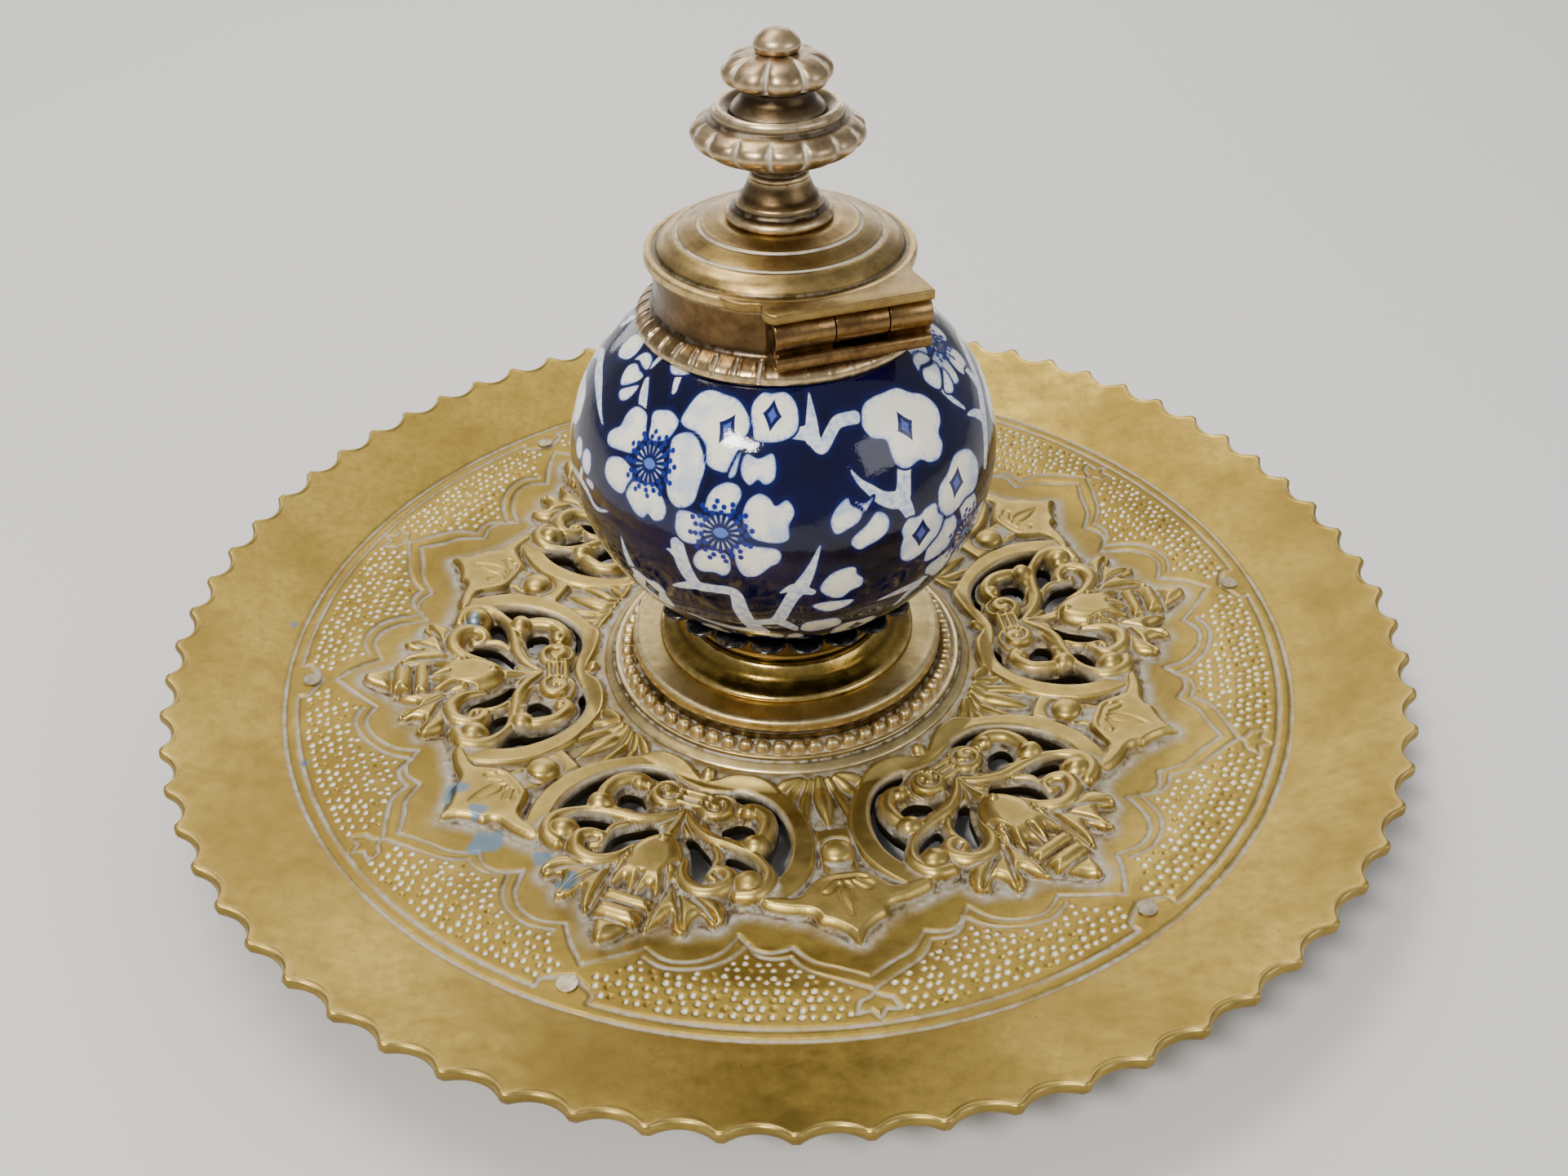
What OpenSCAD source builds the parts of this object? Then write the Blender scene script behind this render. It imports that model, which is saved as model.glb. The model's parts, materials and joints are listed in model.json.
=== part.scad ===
// Desk inkstand: a pierced, scalloped brass dish on six bun feet, with a glazed pot clamped to its
// middle, a hinged brass cover and a turned finial. Millimetres, +Z up. The origin is on the table,
// under the middle of the dish.

/* [Dish] */
// Diameter of the dish across its scallop tips
dish_d = 240; // [200:1:290]
// Thickness of the cast dish
dish_t = 2.4; // [1.8:0.1:3]
// Height of the rim's top edge above the table
rim_h = 21; // [19:0.5:26]
// Height of the level seat in the middle of the dish
seat_h = 8.4; // [7.5:0.1:10]
// Diameter of the engraved border circle
border_d = 199; // [180:1:205]
// Number of scallops round the rim
scallops = 72; // [48:1:90]
// Depth of a scallop
scallop_depth = 1.9; // [1:0.1:2.5]
// Number of ornament groups, feet and rivets
groups = 6; // [3:1:6]
// Direction of the first ornament group, in degrees
group_dir = 8; // [0:1:59]
// Gap between the plinth's seat and the pierced work
pierce_gap = 3.4; // [1.5:0.1:8]

/* [Feet] */
// Radius of the circle that the feet stand on
foot_pcd_r = 94.5; // [70:0.5:97]
// Widest diameter of a bun foot
foot_d = 12.4; // [9:0.2:16]
// Diameter of a rivet's shank
rivet_d = 2.4; // [1.6:0.1:3]
// Diameter of a rivet's peened head
rivet_head_d = 3.4; // [2.8:0.1:5]

/* [Pedestal] */
// Outer diameter of the beaded plinth at its base
plinth_d = 74.8; // [72:0.2:90]
// Height of the beaded plinth
plinth_h = 7.2; // [6:0.1:9]
// Inset of the circle of beads from the plinth's edge
bead_inset = 4.9; // [4.4:0.1:6.4]
// Diameter of a bead
bead_d = 2.9; // [2:0.1:3.2]
// Reach of the flared foot ring beyond the socket's stem
flare_out = 6.2; // [5:0.1:7.4]
// Height of the flared foot ring
flare_h = 5; // [4:0.1:7]
// Height of the socket under the pot
socket_h = 12.8; // [10:0.1:16]
// Inset of the socket's stem from the edge of the pot's base
stem_inset = 4.1; // [3:0.1:6]
// Reach of the calyx petals beyond the pot's base
petal_out = 3.8; // [2.5:0.1:6]
// Thickness of the calyx
calyx_t = 1.2; // [0.8:0.1:2]
// Number of calyx petals
petals = 22; // [16:1:28]

/* [Pot] */
// Largest diameter of the pot
pot_d = 78.4; // [70:0.2:95]
// Diameter of the pot's flat base
pot_base_d = 47; // [40:0.5:56.5]
// Curve height of the pot below its widest ring
pot_low = 36.3; // [32:0.1:42]
// Curve height of the pot above its widest ring
pot_high = 32; // [28:0.1:38]
// Wall of the pot
pot_wall = 3.6; // [2.5:0.1:4.5]
// Thickness of the pot's base
pot_floor = 4.6; // [3:0.1:6]
// Diameter of the pot's mouth
mouth_d = 34; // [28:0.2:41]

/* [Collar and cover] */
// Gap between the pot's neck and the collar's band
neck_gap = 0.5; // [0.3:0.1:1.5]
// Wall of the collar's band
band_wall = 1.9; // [1.6:0.1:2.2]
// Height of the collar from its flange's edge to the band's top
collar_h = 11.9; // [11:0.1:15]
// Reach of the notched flange beyond the band
flange_out = 3.6; // [3:0.1:6]
// Number of notches in the flange
notches = 40; // [24:1:48]
// Overhang of the cover's rim over the band
lid_out = 1.3; // [0.5:0.1:3]
// Rise of the cover's top above its rim's underside
lid_rise = 6.6; // [5:0.1:9]
// Thickness of the cover
lid_t = 1.7; // [1.2:0.1:2.2]

/* [Hinge] */
// Direction of the hinge line in plan, in degrees
hinge_dir = 18; // [0:1:60]
// Shift of the hinge's middle along its line
hinge_shift = 4; // [0:0.5:6]
// Length of the hinge
hinge_len = 26.8; // [20:0.2:32]
// Diameter of the hinge barrel
barrel_d = 5.8; // [4.8:0.1:7]
// Diameter of the hinge pin
pin_d = 1.8; // [1.4:0.1:2.4]
// Radial running clearance on the pin
pin_clear = 0.05; // [0.02:0.01:0.1]
// Gap between neighbouring knuckles
knuckle_gap = 0.15; // [0.1:0.05:0.3]

/* [Finial] */
// Diameter of the finial's base
finial_base_d = 18.6; // [16:0.2:20]
// Diameter of the gadrooned bulb
bulb_d = 29; // [24:0.5:34]
// Diameter of the lobed cap
cap_d = 18; // [15:0.2:21]
// Diameter of the button on top
button_d = 7.8; // [6:0.2:9]
// Diameter of the stud that holds the finial together
stud_d = 3; // [2:0.1:4]

/* [Ink liner] */
// Gap between the liner's body and the pot's mouth
liner_gap = 0.8; // [0.4:0.1:2]
// Depth of the liner below its flange
liner_depth = 44; // [30:0.5:48]
// Wall of the liner
liner_wall = 2; // [1.5:0.1:3]

/* [Tie bolt] */
// Diameter of the tie bolt
bolt_d = 4.8; // [4:0.1:6]
// Clearance of a hole round the bolt, the stud or a rivet, on the diameter
hole_clear = 0.4; // [0.1:0.1:0.8]

/* [Hidden] */
$fn = 96;

// Overlap given to pieces of one solid, so that they join
bite = 0.5;

// Dish: radii and heights
dish_r = dish_d / 2;
border_r = border_d / 2;
seat_r = plinth_d / 2 + 0.2;
border_h = seat_h + 4.8;
pierce_r = seat_r + pierce_gap;
sector = 360 / groups;
bolt_hole_r = (bolt_d + hole_clear) / 2;
// Height of the dish's top face at radius r, between the seat and the border circle
function well_z(r) = seat_h + (border_h - seat_h) * (r - seat_r) / (border_r - seat_r);
// Height of the dish's top face at any radius
function top_z(r) = r < seat_r ? seat_h : r < border_r ? well_z(r)
    : border_h + (rim_h - border_h) * (r - border_r) / (dish_r - border_r);

// Scallops: a bite of this radius leaves a narrow tip between neighbours
tip_w = 1.2;
bite_w = 2 * PI * dish_r / scallops - tip_w;
bite_r = (bite_w * bite_w / 4 + scallop_depth * scallop_depth) / (2 * scallop_depth);

// Feet
pad_t = 0.6;
foot_top = top_z(foot_pcd_r - foot_d / 3) - dish_t - 0.1;
foot_r = foot_d / 2;
rivet_r = rivet_d / 2;
rivet_sunk = 3;
rivet_proud = 0.3;

// Pedestal: heights from the seat up
plinth_top = seat_h + plinth_h;
bead_pcd_r = plinth_d / 2 - bead_inset;
plinth_wall = 2;
plinth_hollow_r = bead_pcd_r - 3.5;
bead_h = seat_h + 2.7;
plinth_step_r = bead_pcd_r - 1.5;
lip_r = bead_pcd_r + 2.5;
pot_base_r = pot_base_d / 2;
stem_r = pot_base_r - stem_inset;
flare_r = stem_r + flare_out;
slip = 0.1;
socket_top = plinth_top + socket_h;
socket_plate = 1.8;
socket_wall = 1.4;
petal_r = 3.4;
petal_pcd_r = pot_base_r + petal_out - petal_r;

// Pot: two half ellipses on one belly ring
pot_r = pot_d / 2;
pot_base_z = socket_top + calyx_t;
belly_z = pot_base_z + pot_low * sqrt(1 - pow(pot_base_d / pot_d, 2));
mouth_r = mouth_d / 2;
neck_r = mouth_r + 2.6;
function pot_top_z(r) = belly_z + pot_high * sqrt(1 - pow(r / pot_r, 2));
pot_mouth_z = pot_top_z(neck_r);
pot_floor_z = pot_base_z + pot_floor;
arc_steps = 14;

// Collar: the flange's edge lies on the pot's shoulder over a thin bedding
bore_r = neck_r + neck_gap;
band_r = bore_r + band_wall;
flange_r = band_r + flange_out;
bedding_t = 0.4;
flange_z = pot_top_z(flange_r - 0.3) + bedding_t;
band_top = flange_z + collar_h;
under_z = pot_mouth_z + bedding_t;
ledge_t = 1.6;
ledge_top = band_top - 2.8;
liner_r = mouth_r - liner_gap;
ledge_r = liner_r + 0.4;
notch_w = 0.8;
notch_depth = 0.7;

// Cover
lid_gap = 0.15;
lid_z = band_top + lid_gap;
lid_r = band_r + lid_out;
lid_edge_t = 1.7;
lid_top = lid_z + lid_rise;
lid_seat_r = bore_r + 0.3;

// Hinge: its axis runs beside the band, under the cover's tab and over the collar's leaf
barrel_r = barrel_d / 2;
barrel_sunk = 1.8;
tab_gap = 0.1;
hinge_z = lid_z - tab_gap - barrel_r;
hinge_y = -(band_r + barrel_r - barrel_sunk);
tab_out = barrel_r + 0.2;
leaf_out = barrel_r;
leaf_t = 1.8;
leaf_drop = 0.7;
leaf_top = hinge_z - barrel_r - leaf_drop;
hinge_lo = hinge_shift - hinge_len / 2;
hinge_hi = hinge_shift + hinge_len / 2;
mid_lo = hinge_lo + 0.375 * hinge_len;
mid_hi = hinge_lo + 0.725 * hinge_len;
pin_r = pin_d / 2;
pocket_r = barrel_r + 0.3;

// Finial: heights of its joints above the cover's top
finial_z = lid_top;
base_h = 7;
bulb_h = 11;
cap_h = 8.9;
bulb_z = finial_z + base_h;
cap_z = bulb_z + bulb_h;
button_z = cap_z + cap_h;
button_h = 3.7;
stud_r = stud_d / 2;
stud_hole_r = stud_r + hole_clear / 4;
lid_under = lid_top - lid_t;
lid_washer_t = 0.9;
lid_nut_t = 2.2;

// Ink liner
liner_flange_t = 1.6;
liner_flange_r = bore_r - 0.4;
liner_floor = 2.5;

// Clamp stack inside the pot and under the dish
leather_t = 1.2;
washer_t = 1.3;
washer_r = bolt_d * 1.7;
head_t = 3;
head_r = bolt_d;
base_washer_t = 1;
base_nut_t = 2.8;
bolt_end = seat_h - dish_t - base_washer_t - base_nut_t - 0.8;
head_z = pot_floor_z + leather_t + washer_t;

BRASS = [0.72, 0.58, 0.30];
BRONZE = [0.52, 0.40, 0.24];
COBALT = [0.05, 0.06, 0.28];
BLACK = [0.03, 0.03, 0.03];

// Solid of revolution about Z from points [radius, height]
module turned(points) {
    rotate_extrude() polygon(points);
}

// Upright cylinder between two heights
module post(r, z0, z1, sides = $fn) {
    translate([0, 0, z0]) cylinder(r = r, h = z1 - z0, $fn = sides);
}

// Copies of the children on each ornament group's own axis, which becomes their +Y
module on_groups() {
    for (i = [0 : groups - 1]) rotate(group_dir + i * sector - 90) children();
}

// Frame of the hinge: X along its line, Y outwards from the axis, Z up, origin on the axis
module hinge_frame() {
    rotate(hinge_dir) translate([0, hinge_y, hinge_z]) mirror([0, 1, 0]) children();
}

// Box in the hinge's frame from corner a to corner b
module span(a, b) {
    translate(a) cube(b - a);
}

// Round bar along the hinge line
module bar(r, x0, x1) {
    translate([x0, 0, 0]) rotate([0, 90, 0]) cylinder(r = r, h = x1 - x0);
}

// Round-ended slot from point a to point b
module slot(a, b, w) {
    run = norm(b - a);
    translate(a) rotate(atan2(b[1] - a[1], b[0] - a[0])) {
        circle(d = w, $fn = 32);
        translate([run, 0]) circle(d = w, $fn = 32);
        translate([0, -w / 2]) square([run, w]);
    }
}

// Crescent between the strap and the side scroll, on the right of a group's axis
module crescent() {
    r = pierce_r;
    polygon([[4.2, r - 0.2], [8.8, r + 0.4], [12.4, r + 1.6], [15.5, r + 3.6], [18.8, r + 7.6],
        [21.2, r + 13], [19.2, r + 12], [16.9, r + 8.9], [13.6, r + 5.4], [9.3, r + 2.9],
        [5.1, r + 1.4]]);
}

// The pierced openings on the right of a group's axis
module piercings() {
    r = pierce_r;
    crescent();
    slot([6.2, r + 13], [11.4, r + 19.4], 3);
    slot([9.4, r + 8.4], [13.2, r + 8], 3.2);
    slot([4.4, r + 6], [6.6, r + 5.4], 2.2);
}

module dish() {
    pierce_top = top_z(pierce_r + 30) + 1;
    color(BRASS) difference() {
        union() {
            turned([[bolt_hole_r, seat_h], [seat_r, seat_h], [border_r, border_h],
                [dish_r - 0.8, rim_h], [dish_r, rim_h - 0.4], [dish_r, rim_h - dish_t],
                [border_r, border_h - dish_t], [seat_r, seat_h - dish_t],
                [bolt_hole_r, seat_h - dish_t]]);
            on_groups() translate([0, foot_pcd_r, 0])
                post(foot_r * 0.75, foot_top, top_z(foot_pcd_r) - dish_t + pad_t);
        }
        for (i = [0 : scallops - 1]) rotate((i + 0.5) * 360 / scallops)
            translate([dish_r - scallop_depth + bite_r, 0, 0])
                post(bite_r, rim_h - 4 * dish_t, rim_h + dish_t, 48);
        on_groups() {
            translate([0, foot_pcd_r, 0]) post(rivet_r, 0, rim_h);
            for (side = [0, 1]) mirror([side, 0, 0])
                translate([0, 0, seat_h - dish_t - 1]) linear_extrude(pierce_top - seat_h + dish_t)
                    piercings();
        }
    }
}

module bun_feet() {
    color(BRASS) on_groups() translate([0, foot_pcd_r, 0]) difference() {
        turned([[0, 0], [foot_r * 0.6, 0], [foot_r * 0.84, foot_top * 0.1], [foot_r, foot_top * 0.34],
            [foot_r * 0.94, foot_top * 0.52], [foot_r * 0.62, foot_top * 0.68],
            [foot_r * 0.56, foot_top * 0.8], [foot_r * 0.7, foot_top * 0.9], [foot_r * 0.7, foot_top],
            [0, foot_top]]);
        post(rivet_r + hole_clear / 8, rivet_sunk, foot_top + 1);
    }
}

module foot_rivets() {
    head_z = top_z(foot_pcd_r + rivet_head_d / 2);
    color(BRASS) on_groups() translate([0, foot_pcd_r, 0]) {
        post(rivet_r, rivet_sunk, head_z + rivet_proud);
        post(rivet_head_d / 2, head_z, head_z + rivet_proud);
    }
}

module beaded_plinth() {
    base_r = plinth_d / 2;
    color(BRASS) rotate_extrude() {
        polygon([[plinth_hollow_r, seat_h], [base_r, seat_h], [base_r - 0.4, seat_h + 0.4],
            [lip_r + 0.6, seat_h + 1.3], [lip_r, seat_h + 2], [lip_r - 0.7, seat_h + 2],
            [lip_r - 1, seat_h + 1.5], [plinth_step_r, seat_h + 1.5],
            [plinth_step_r, plinth_top - 0.6], [plinth_step_r - 0.4, plinth_top],
            [bolt_hole_r, plinth_top], [bolt_hole_r, plinth_top - plinth_wall],
            [plinth_hollow_r - 2, plinth_top - plinth_wall],
            [plinth_hollow_r, plinth_top - plinth_wall - 2]]);
        translate([bead_pcd_r, bead_h]) circle(d = bead_d, $fn = 32);
    }
}

module foot_ring() {
    bore = stem_r + slip;
    outer = flare_r;
    color(BRASS) turned([[bore, plinth_top], [outer - 0.3, plinth_top], [outer, plinth_top + 0.5],
        [outer - 0.4, plinth_top + 0.18 * flare_h], [outer - 2, plinth_top + 0.3 * flare_h],
        [outer - 3.6, plinth_top + 0.48 * flare_h], [bore + 1.4, plinth_top + 0.7 * flare_h],
        [bore + 0.9, plinth_top + 0.9 * flare_h], [bore + 0.6, plinth_top + flare_h],
        [bore, plinth_top + flare_h]]);
}

module pot_socket() {
    cup_r = pot_base_r - 0.7;
    inner = stem_r - socket_wall;
    plate_z = socket_top - socket_plate;
    color(BRASS) turned([[inner, plinth_top], [stem_r, plinth_top],
        [stem_r, plinth_top + 0.45 * socket_h], [stem_r + 0.8, plinth_top + 0.66 * socket_h],
        [cup_r - 0.7, plinth_top + 0.9 * socket_h], [cup_r, socket_top - 0.4], [cup_r, socket_top],
        [bolt_hole_r, socket_top], [bolt_hole_r, plate_z], [inner, plate_z]]);
}

module scalloped_calyx() {
    color(BLACK) translate([0, 0, socket_top]) linear_extrude(calyx_t) difference() {
        union() {
            circle(r = petal_pcd_r);
            for (i = [0 : petals - 1]) rotate(i * 360 / petals) translate([petal_pcd_r, 0])
                circle(r = petal_r, $fn = 32);
        }
        circle(r = bolt_hole_r);
    }
}

// Quarter-ellipse points from angle a0 to a1, measured at the belly from outwards to upwards
function belly(rx, rz, a0, a1) = [for (i = [0 : arc_steps])
    let (a = a0 + (a1 - a0) * i / arc_steps) [rx * cos(a), belly_z + rz * sin(a)]];

module ink_pot() {
    in_r = pot_r - pot_wall;
    in_low = pot_low - pot_wall;
    in_high = pot_high - pot_wall;
    color(COBALT) difference() {
        turned(concat(
            belly(pot_r, pot_low, -acos(pot_base_d / pot_d), 0),
            [for (i = [1 : arc_steps]) belly(pot_r, pot_high, 0, acos(neck_r / pot_r))[i]],
            [[mouth_r, pot_mouth_z]],
            belly(in_r, in_high, acos(mouth_r / in_r), 0),
            [for (i = [1 : arc_steps])
                belly(in_r, in_low, 0, -asin((belly_z - pot_floor_z) / in_low))[i]],
            [[bolt_hole_r, pot_floor_z], [bolt_hole_r, pot_base_z]]));
    }
}

// Plaster bed between the pot's shoulder and the collar
module pot_bedding() {
    inner = neck_r;
    outer = flange_r - 1;
    steps = 6;
    color("ivory") turned(concat([[inner, under_z], [outer, collar_under_z(outer) - 0.02]],
        [for (i = [0 : steps]) let (r = outer + (inner - outer) * i / steps)
            [r, pot_top_z(r) + 0.02]]));
}

// Height of the collar's underside at radius r
function collar_under_z(r) = under_z + (flange_z - under_z) * (r - bore_r) / (flange_r - 0.3 - bore_r);

module collar_mount() {
    color(BRONZE) difference() {
        union() {
            difference() {
                turned([[bore_r, under_z], [flange_r - 0.3, flange_z], [flange_r, flange_z + 0.8],
                    [flange_r - 0.7, flange_z + 2.2], [band_r + 0.8, flange_z + 3.4],
                    [band_r, flange_z + 4.2], [band_r, band_top], [bore_r, band_top],
                    [bore_r, ledge_top], [ledge_r, ledge_top], [ledge_r, ledge_top - ledge_t],
                    [bore_r, ledge_top - ledge_t]]);
                for (i = [0 : notches - 1]) rotate(i * 360 / notches)
                    translate([flange_r - notch_depth, -notch_w / 2, flange_z - 1])
                        rotate([0, -28, 0]) cube([2, notch_w, 4.6]);
            }
            difference() {
                hinge_frame() {
                    span([hinge_lo, -barrel_r - 4, leaf_top - hinge_z - leaf_t],
                        [hinge_hi, leaf_out, leaf_top - hinge_z]);
                    for (x = [[hinge_lo, mid_lo], [mid_hi, hinge_hi]]) {
                        bar(barrel_r, x[0], x[1]);
                        span([x[0], -barrel_r, leaf_top - hinge_z - bite], [x[1], 1, 0]);
                    }
                }
                turned([[0, 0], [flange_r, 0], [flange_r, flange_z], [bore_r, under_z],
                    [bore_r, band_top + 1], [0, band_top + 1]]);
            }
        }
        hinge_frame() {
            bar(pocket_r, mid_lo, mid_hi);
            span([mid_lo, -pocket_r, 0], [mid_hi, pocket_r + 2, barrel_r + 2]);
            bar(pin_r, hinge_lo - 1, hinge_hi + 1);
        }
    }
}

module hinge_pin() {
    color(BRONZE) hinge_frame() bar(pin_r, hinge_lo, hinge_hi);
}

module lid() {
    rim_top = lid_z + lid_edge_t;
    color(BRONZE) difference() {
        union() {
            turned([[stud_hole_r, lid_under], [lid_r * 0.58, lid_under - 0.7],
                [lid_seat_r, lid_z + 1.6], [lid_seat_r, lid_z], [lid_r, lid_z],
                [lid_r, rim_top - 0.4], [lid_r - 0.4, rim_top], [lid_r * 0.94, rim_top + 0.5],
                [lid_r * 0.91, rim_top + 1.3], [lid_r * 0.82, lid_top - 1.9],
                [lid_r * 0.755, lid_top - 1.6], [lid_r * 0.59, lid_top - 0.5],
                [lid_r * 0.45, lid_top], [stud_hole_r, lid_top]]);
            difference() {
                hinge_frame() span([hinge_lo, -barrel_r - 10, barrel_r + tab_gap],
                    [hinge_hi, tab_out, barrel_r + tab_gap + lid_edge_t]);
                post(lid_seat_r, 0, rim_top + 1);
            }
            hinge_frame() {
                bar(barrel_r, mid_lo + knuckle_gap, mid_hi - knuckle_gap);
                span([mid_lo + knuckle_gap, -barrel_r, 0],
                    [mid_hi - knuckle_gap, barrel_r * 0.86, barrel_r + tab_gap + bite]);
            }
        }
        hinge_frame() bar(pin_r + pin_clear, mid_lo - 1, mid_hi + 1);
    }
}

module finial_base() {
    r = finial_base_d / 2;
    z = finial_z;
    color(BRONZE) turned([[stud_hole_r, z], [r - 0.4, z], [r, z + 0.5], [r, z + 1.1],
        [r - 0.5, z + 1.6], [r * 0.84, z + 2], [r * 0.8, z + 2.5], [r * 0.8, z + 3.2],
        [r * 0.76, z + 3.8], [r * 0.66, z + 4.4], [r * 0.6, z + 5.2], [r * 0.57, z + 6],
        [r * 0.54, z + base_h], [stud_hole_r, z + base_h]]);
}

module finial_bulb() {
    r = bulb_d / 2;
    z = bulb_z;
    cup = cap_d * 0.6;
    foot = finial_base_d * 0.27;
    color(BRONZE) turned([[stud_hole_r, z], [foot, z], [foot, z + 0.4], [foot * 0.88, z + 0.9],
        [foot * 0.9, z + 1.3], [foot * 1.06, z + 2], [r * 0.62, z + 3.6], [r * 0.86, z + 5],
        [r * 0.97, z + 6.3], [r, z + 7.3], [r * 0.97, z + 8.3], [r * 0.88, z + 9.2],
        [cup + 0.4, z + 10], [cup, z + 10.3], [cup + 0.1, z + 11.6], [cup - 0.3, z + 12.2],
        [cup - 1, z + 12.1], [cup - 2.2, z + 11.4], [foot, z + bulb_h], [stud_hole_r, z + bulb_h]]);
}

module finial_cap() {
    r = cap_d / 2;
    stem = finial_base_d * 0.24;
    z = cap_z;
    color(BRONZE) turned([[stud_hole_r, z], [stem, z], [stem, z + 3], [r * 0.62, z + 3.9],
        [r * 0.9, z + 4.5], [r, z + 5.5], [r * 0.98, z + 6.4], [r * 0.82, z + 7.6],
        [r * 0.6, z + 8.4], [r * 0.42, z + cap_h], [stud_hole_r, z + cap_h]]);
}

module finial_button() {
    r = button_d / 2;
    z = button_z;
    color(BRONZE) difference() {
        turned([[0, z], [r * 0.86, z], [r, z + 0.9], [r * 0.96, z + 1.6], [r * 0.8, z + 2.5],
            [r * 0.5, z + 3.3], [r * 0.2, z + button_h], [0, z + button_h]]);
        post(stud_hole_r, z - 1, z + button_h - 1.3);
    }
}

module finial_stud() {
    color("silver") post(stud_r, lid_under - lid_washer_t - lid_nut_t - 0.6, button_z + button_h - 1.5);
}

module lid_washer() {
    top = lid_under - 0.25;
    color(BRASS) difference() {
        post(stud_d * 1.4, top - lid_washer_t + 0.2, top);
        post(stud_hole_r, 0, lid_top);
    }
}

module lid_nut() {
    top = lid_under - lid_washer_t - 0.05;
    color(BRASS) difference() {
        post(stud_d * 1.1, top - lid_nut_t, top, 6);
        post(stud_hole_r, 0, lid_top);
    }
}

module ink_liner() {
    top = ledge_top + liner_flange_t;
    low = ledge_top - liner_depth;
    inner = liner_r - liner_wall;
    color([0.75, 0.82, 0.85, 0.5]) turned([[0, low], [liner_r - 1.5, low], [liner_r, low + 1.5],
        [liner_r, ledge_top], [liner_flange_r, ledge_top], [liner_flange_r, top - 0.4],
        [liner_flange_r - 0.4, top], [inner + 0.5, top], [inner, top - 0.6],
        [inner, low + liner_floor + 1.5], [inner - 1.5, low + liner_floor], [0, low + liner_floor]]);
}

module tie_bolt() {
    color("silver") difference() {
        union() {
            post(bolt_d / 2, bolt_end, head_z + bite);
            post(head_r, head_z, head_z + head_t);
        }
        translate([-head_r - 1, -0.6, head_z + head_t - 1.2]) cube([2 * head_r + 2, 1.2, 2]);
    }
}

// Flat ring round the tie bolt
module bolt_washer(r, z, t) {
    difference() {
        post(r, z, z + t);
        post(bolt_hole_r, z - 1, z + t + 1);
    }
}

module pot_washer() {
    color("saddlebrown") bolt_washer(washer_r + 1, pot_floor_z, leather_t);
}

module clamp_washer() {
    color(BRASS) bolt_washer(washer_r, pot_floor_z + leather_t, washer_t);
}

module base_washer() {
    color(BRASS) bolt_washer(washer_r, seat_h - dish_t - base_washer_t, base_washer_t);
}

module base_nut() {
    top = seat_h - dish_t - base_washer_t;
    color(BRASS) difference() {
        post(bolt_d, top - base_nut_t, top, 6);
        post(bolt_hole_r, 0, top + 1);
    }
}

dish();
bun_feet();
foot_rivets();
beaded_plinth();
foot_ring();
pot_socket();
scalloped_calyx();
ink_pot();
pot_bedding();
collar_mount();
hinge_pin();
lid();
finial_base();
finial_bulb();
finial_cap();
finial_button();
finial_stud();
lid_washer();
lid_nut();
ink_liner();
tie_bolt();
pot_washer();
clamp_washer();
base_washer();
base_nut();
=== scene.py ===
"""Looks of the desk inkstand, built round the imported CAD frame.

The shapes are laid out in millimetres, and scaled by MM to Blender's metres when a mesh is made.
Heights and radii come from the boxes of the frame's nodes where those give them, so the pieces sit
where the CAD says. The others repeat the CAD's own values.
"""
import json
import math
import bmesh
import bpy
import numpy as np
from mathutils import Matrix, Vector


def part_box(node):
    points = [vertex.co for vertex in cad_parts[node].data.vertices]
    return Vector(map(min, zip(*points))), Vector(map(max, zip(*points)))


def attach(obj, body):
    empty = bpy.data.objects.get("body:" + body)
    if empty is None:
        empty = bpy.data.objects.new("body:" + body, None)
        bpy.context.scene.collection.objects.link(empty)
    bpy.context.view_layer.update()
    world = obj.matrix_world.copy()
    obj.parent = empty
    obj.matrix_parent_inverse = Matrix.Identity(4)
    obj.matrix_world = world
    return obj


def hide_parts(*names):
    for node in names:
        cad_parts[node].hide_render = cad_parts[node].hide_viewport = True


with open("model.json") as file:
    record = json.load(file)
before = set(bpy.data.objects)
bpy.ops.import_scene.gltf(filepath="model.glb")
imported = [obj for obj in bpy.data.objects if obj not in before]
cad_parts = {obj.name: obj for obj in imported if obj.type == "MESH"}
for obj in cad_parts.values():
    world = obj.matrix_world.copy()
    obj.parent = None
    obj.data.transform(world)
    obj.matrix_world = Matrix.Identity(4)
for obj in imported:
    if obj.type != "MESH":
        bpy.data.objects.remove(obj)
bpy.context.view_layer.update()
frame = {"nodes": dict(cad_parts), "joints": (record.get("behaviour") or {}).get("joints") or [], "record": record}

MM = 0.001
TURN = 2 * math.pi


# ---------------------------------------------------------------- sizes from the frame, in mm

def low(node):
    return [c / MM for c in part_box(node)[0]]


def high(node):
    return [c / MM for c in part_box(node)[1]]


DISH_R = high("dish")[0]
RIM_Z = high("dish")[2]
SEAT_Z = low("beaded_plinth")[2]
PLINTH_R = high("beaded_plinth")[0]
SEAT_R = PLINTH_R + 0.2
DISH_T = 2.4
SAG = 2.0               # how far the chased part of the plate dips
BORDER_R = 99.5
BORDER_Z = SEAT_Z + 4.8
SECTOR_R = [SEAT_R - 0.6, BORDER_R + 1.5]       # inner and outer edge of the six chased sectors
FOOT = [c / MM for c in frame["record"]["mounts"][0]["pos_m"]]
GROUPS = 6
GROUP_DIR = math.atan2(FOOT[1], FOOT[0])
FOOT_RING_R = math.hypot(FOOT[0], FOOT[1])
SCALLOPS = 72


# ---------------------------------------------------------------- meshes

def in_scene(name, data):
    """Object of a mesh, lamp or camera."""
    obj = bpy.data.objects.new(name, data)
    bpy.context.scene.collection.objects.link(obj)
    return obj


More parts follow.
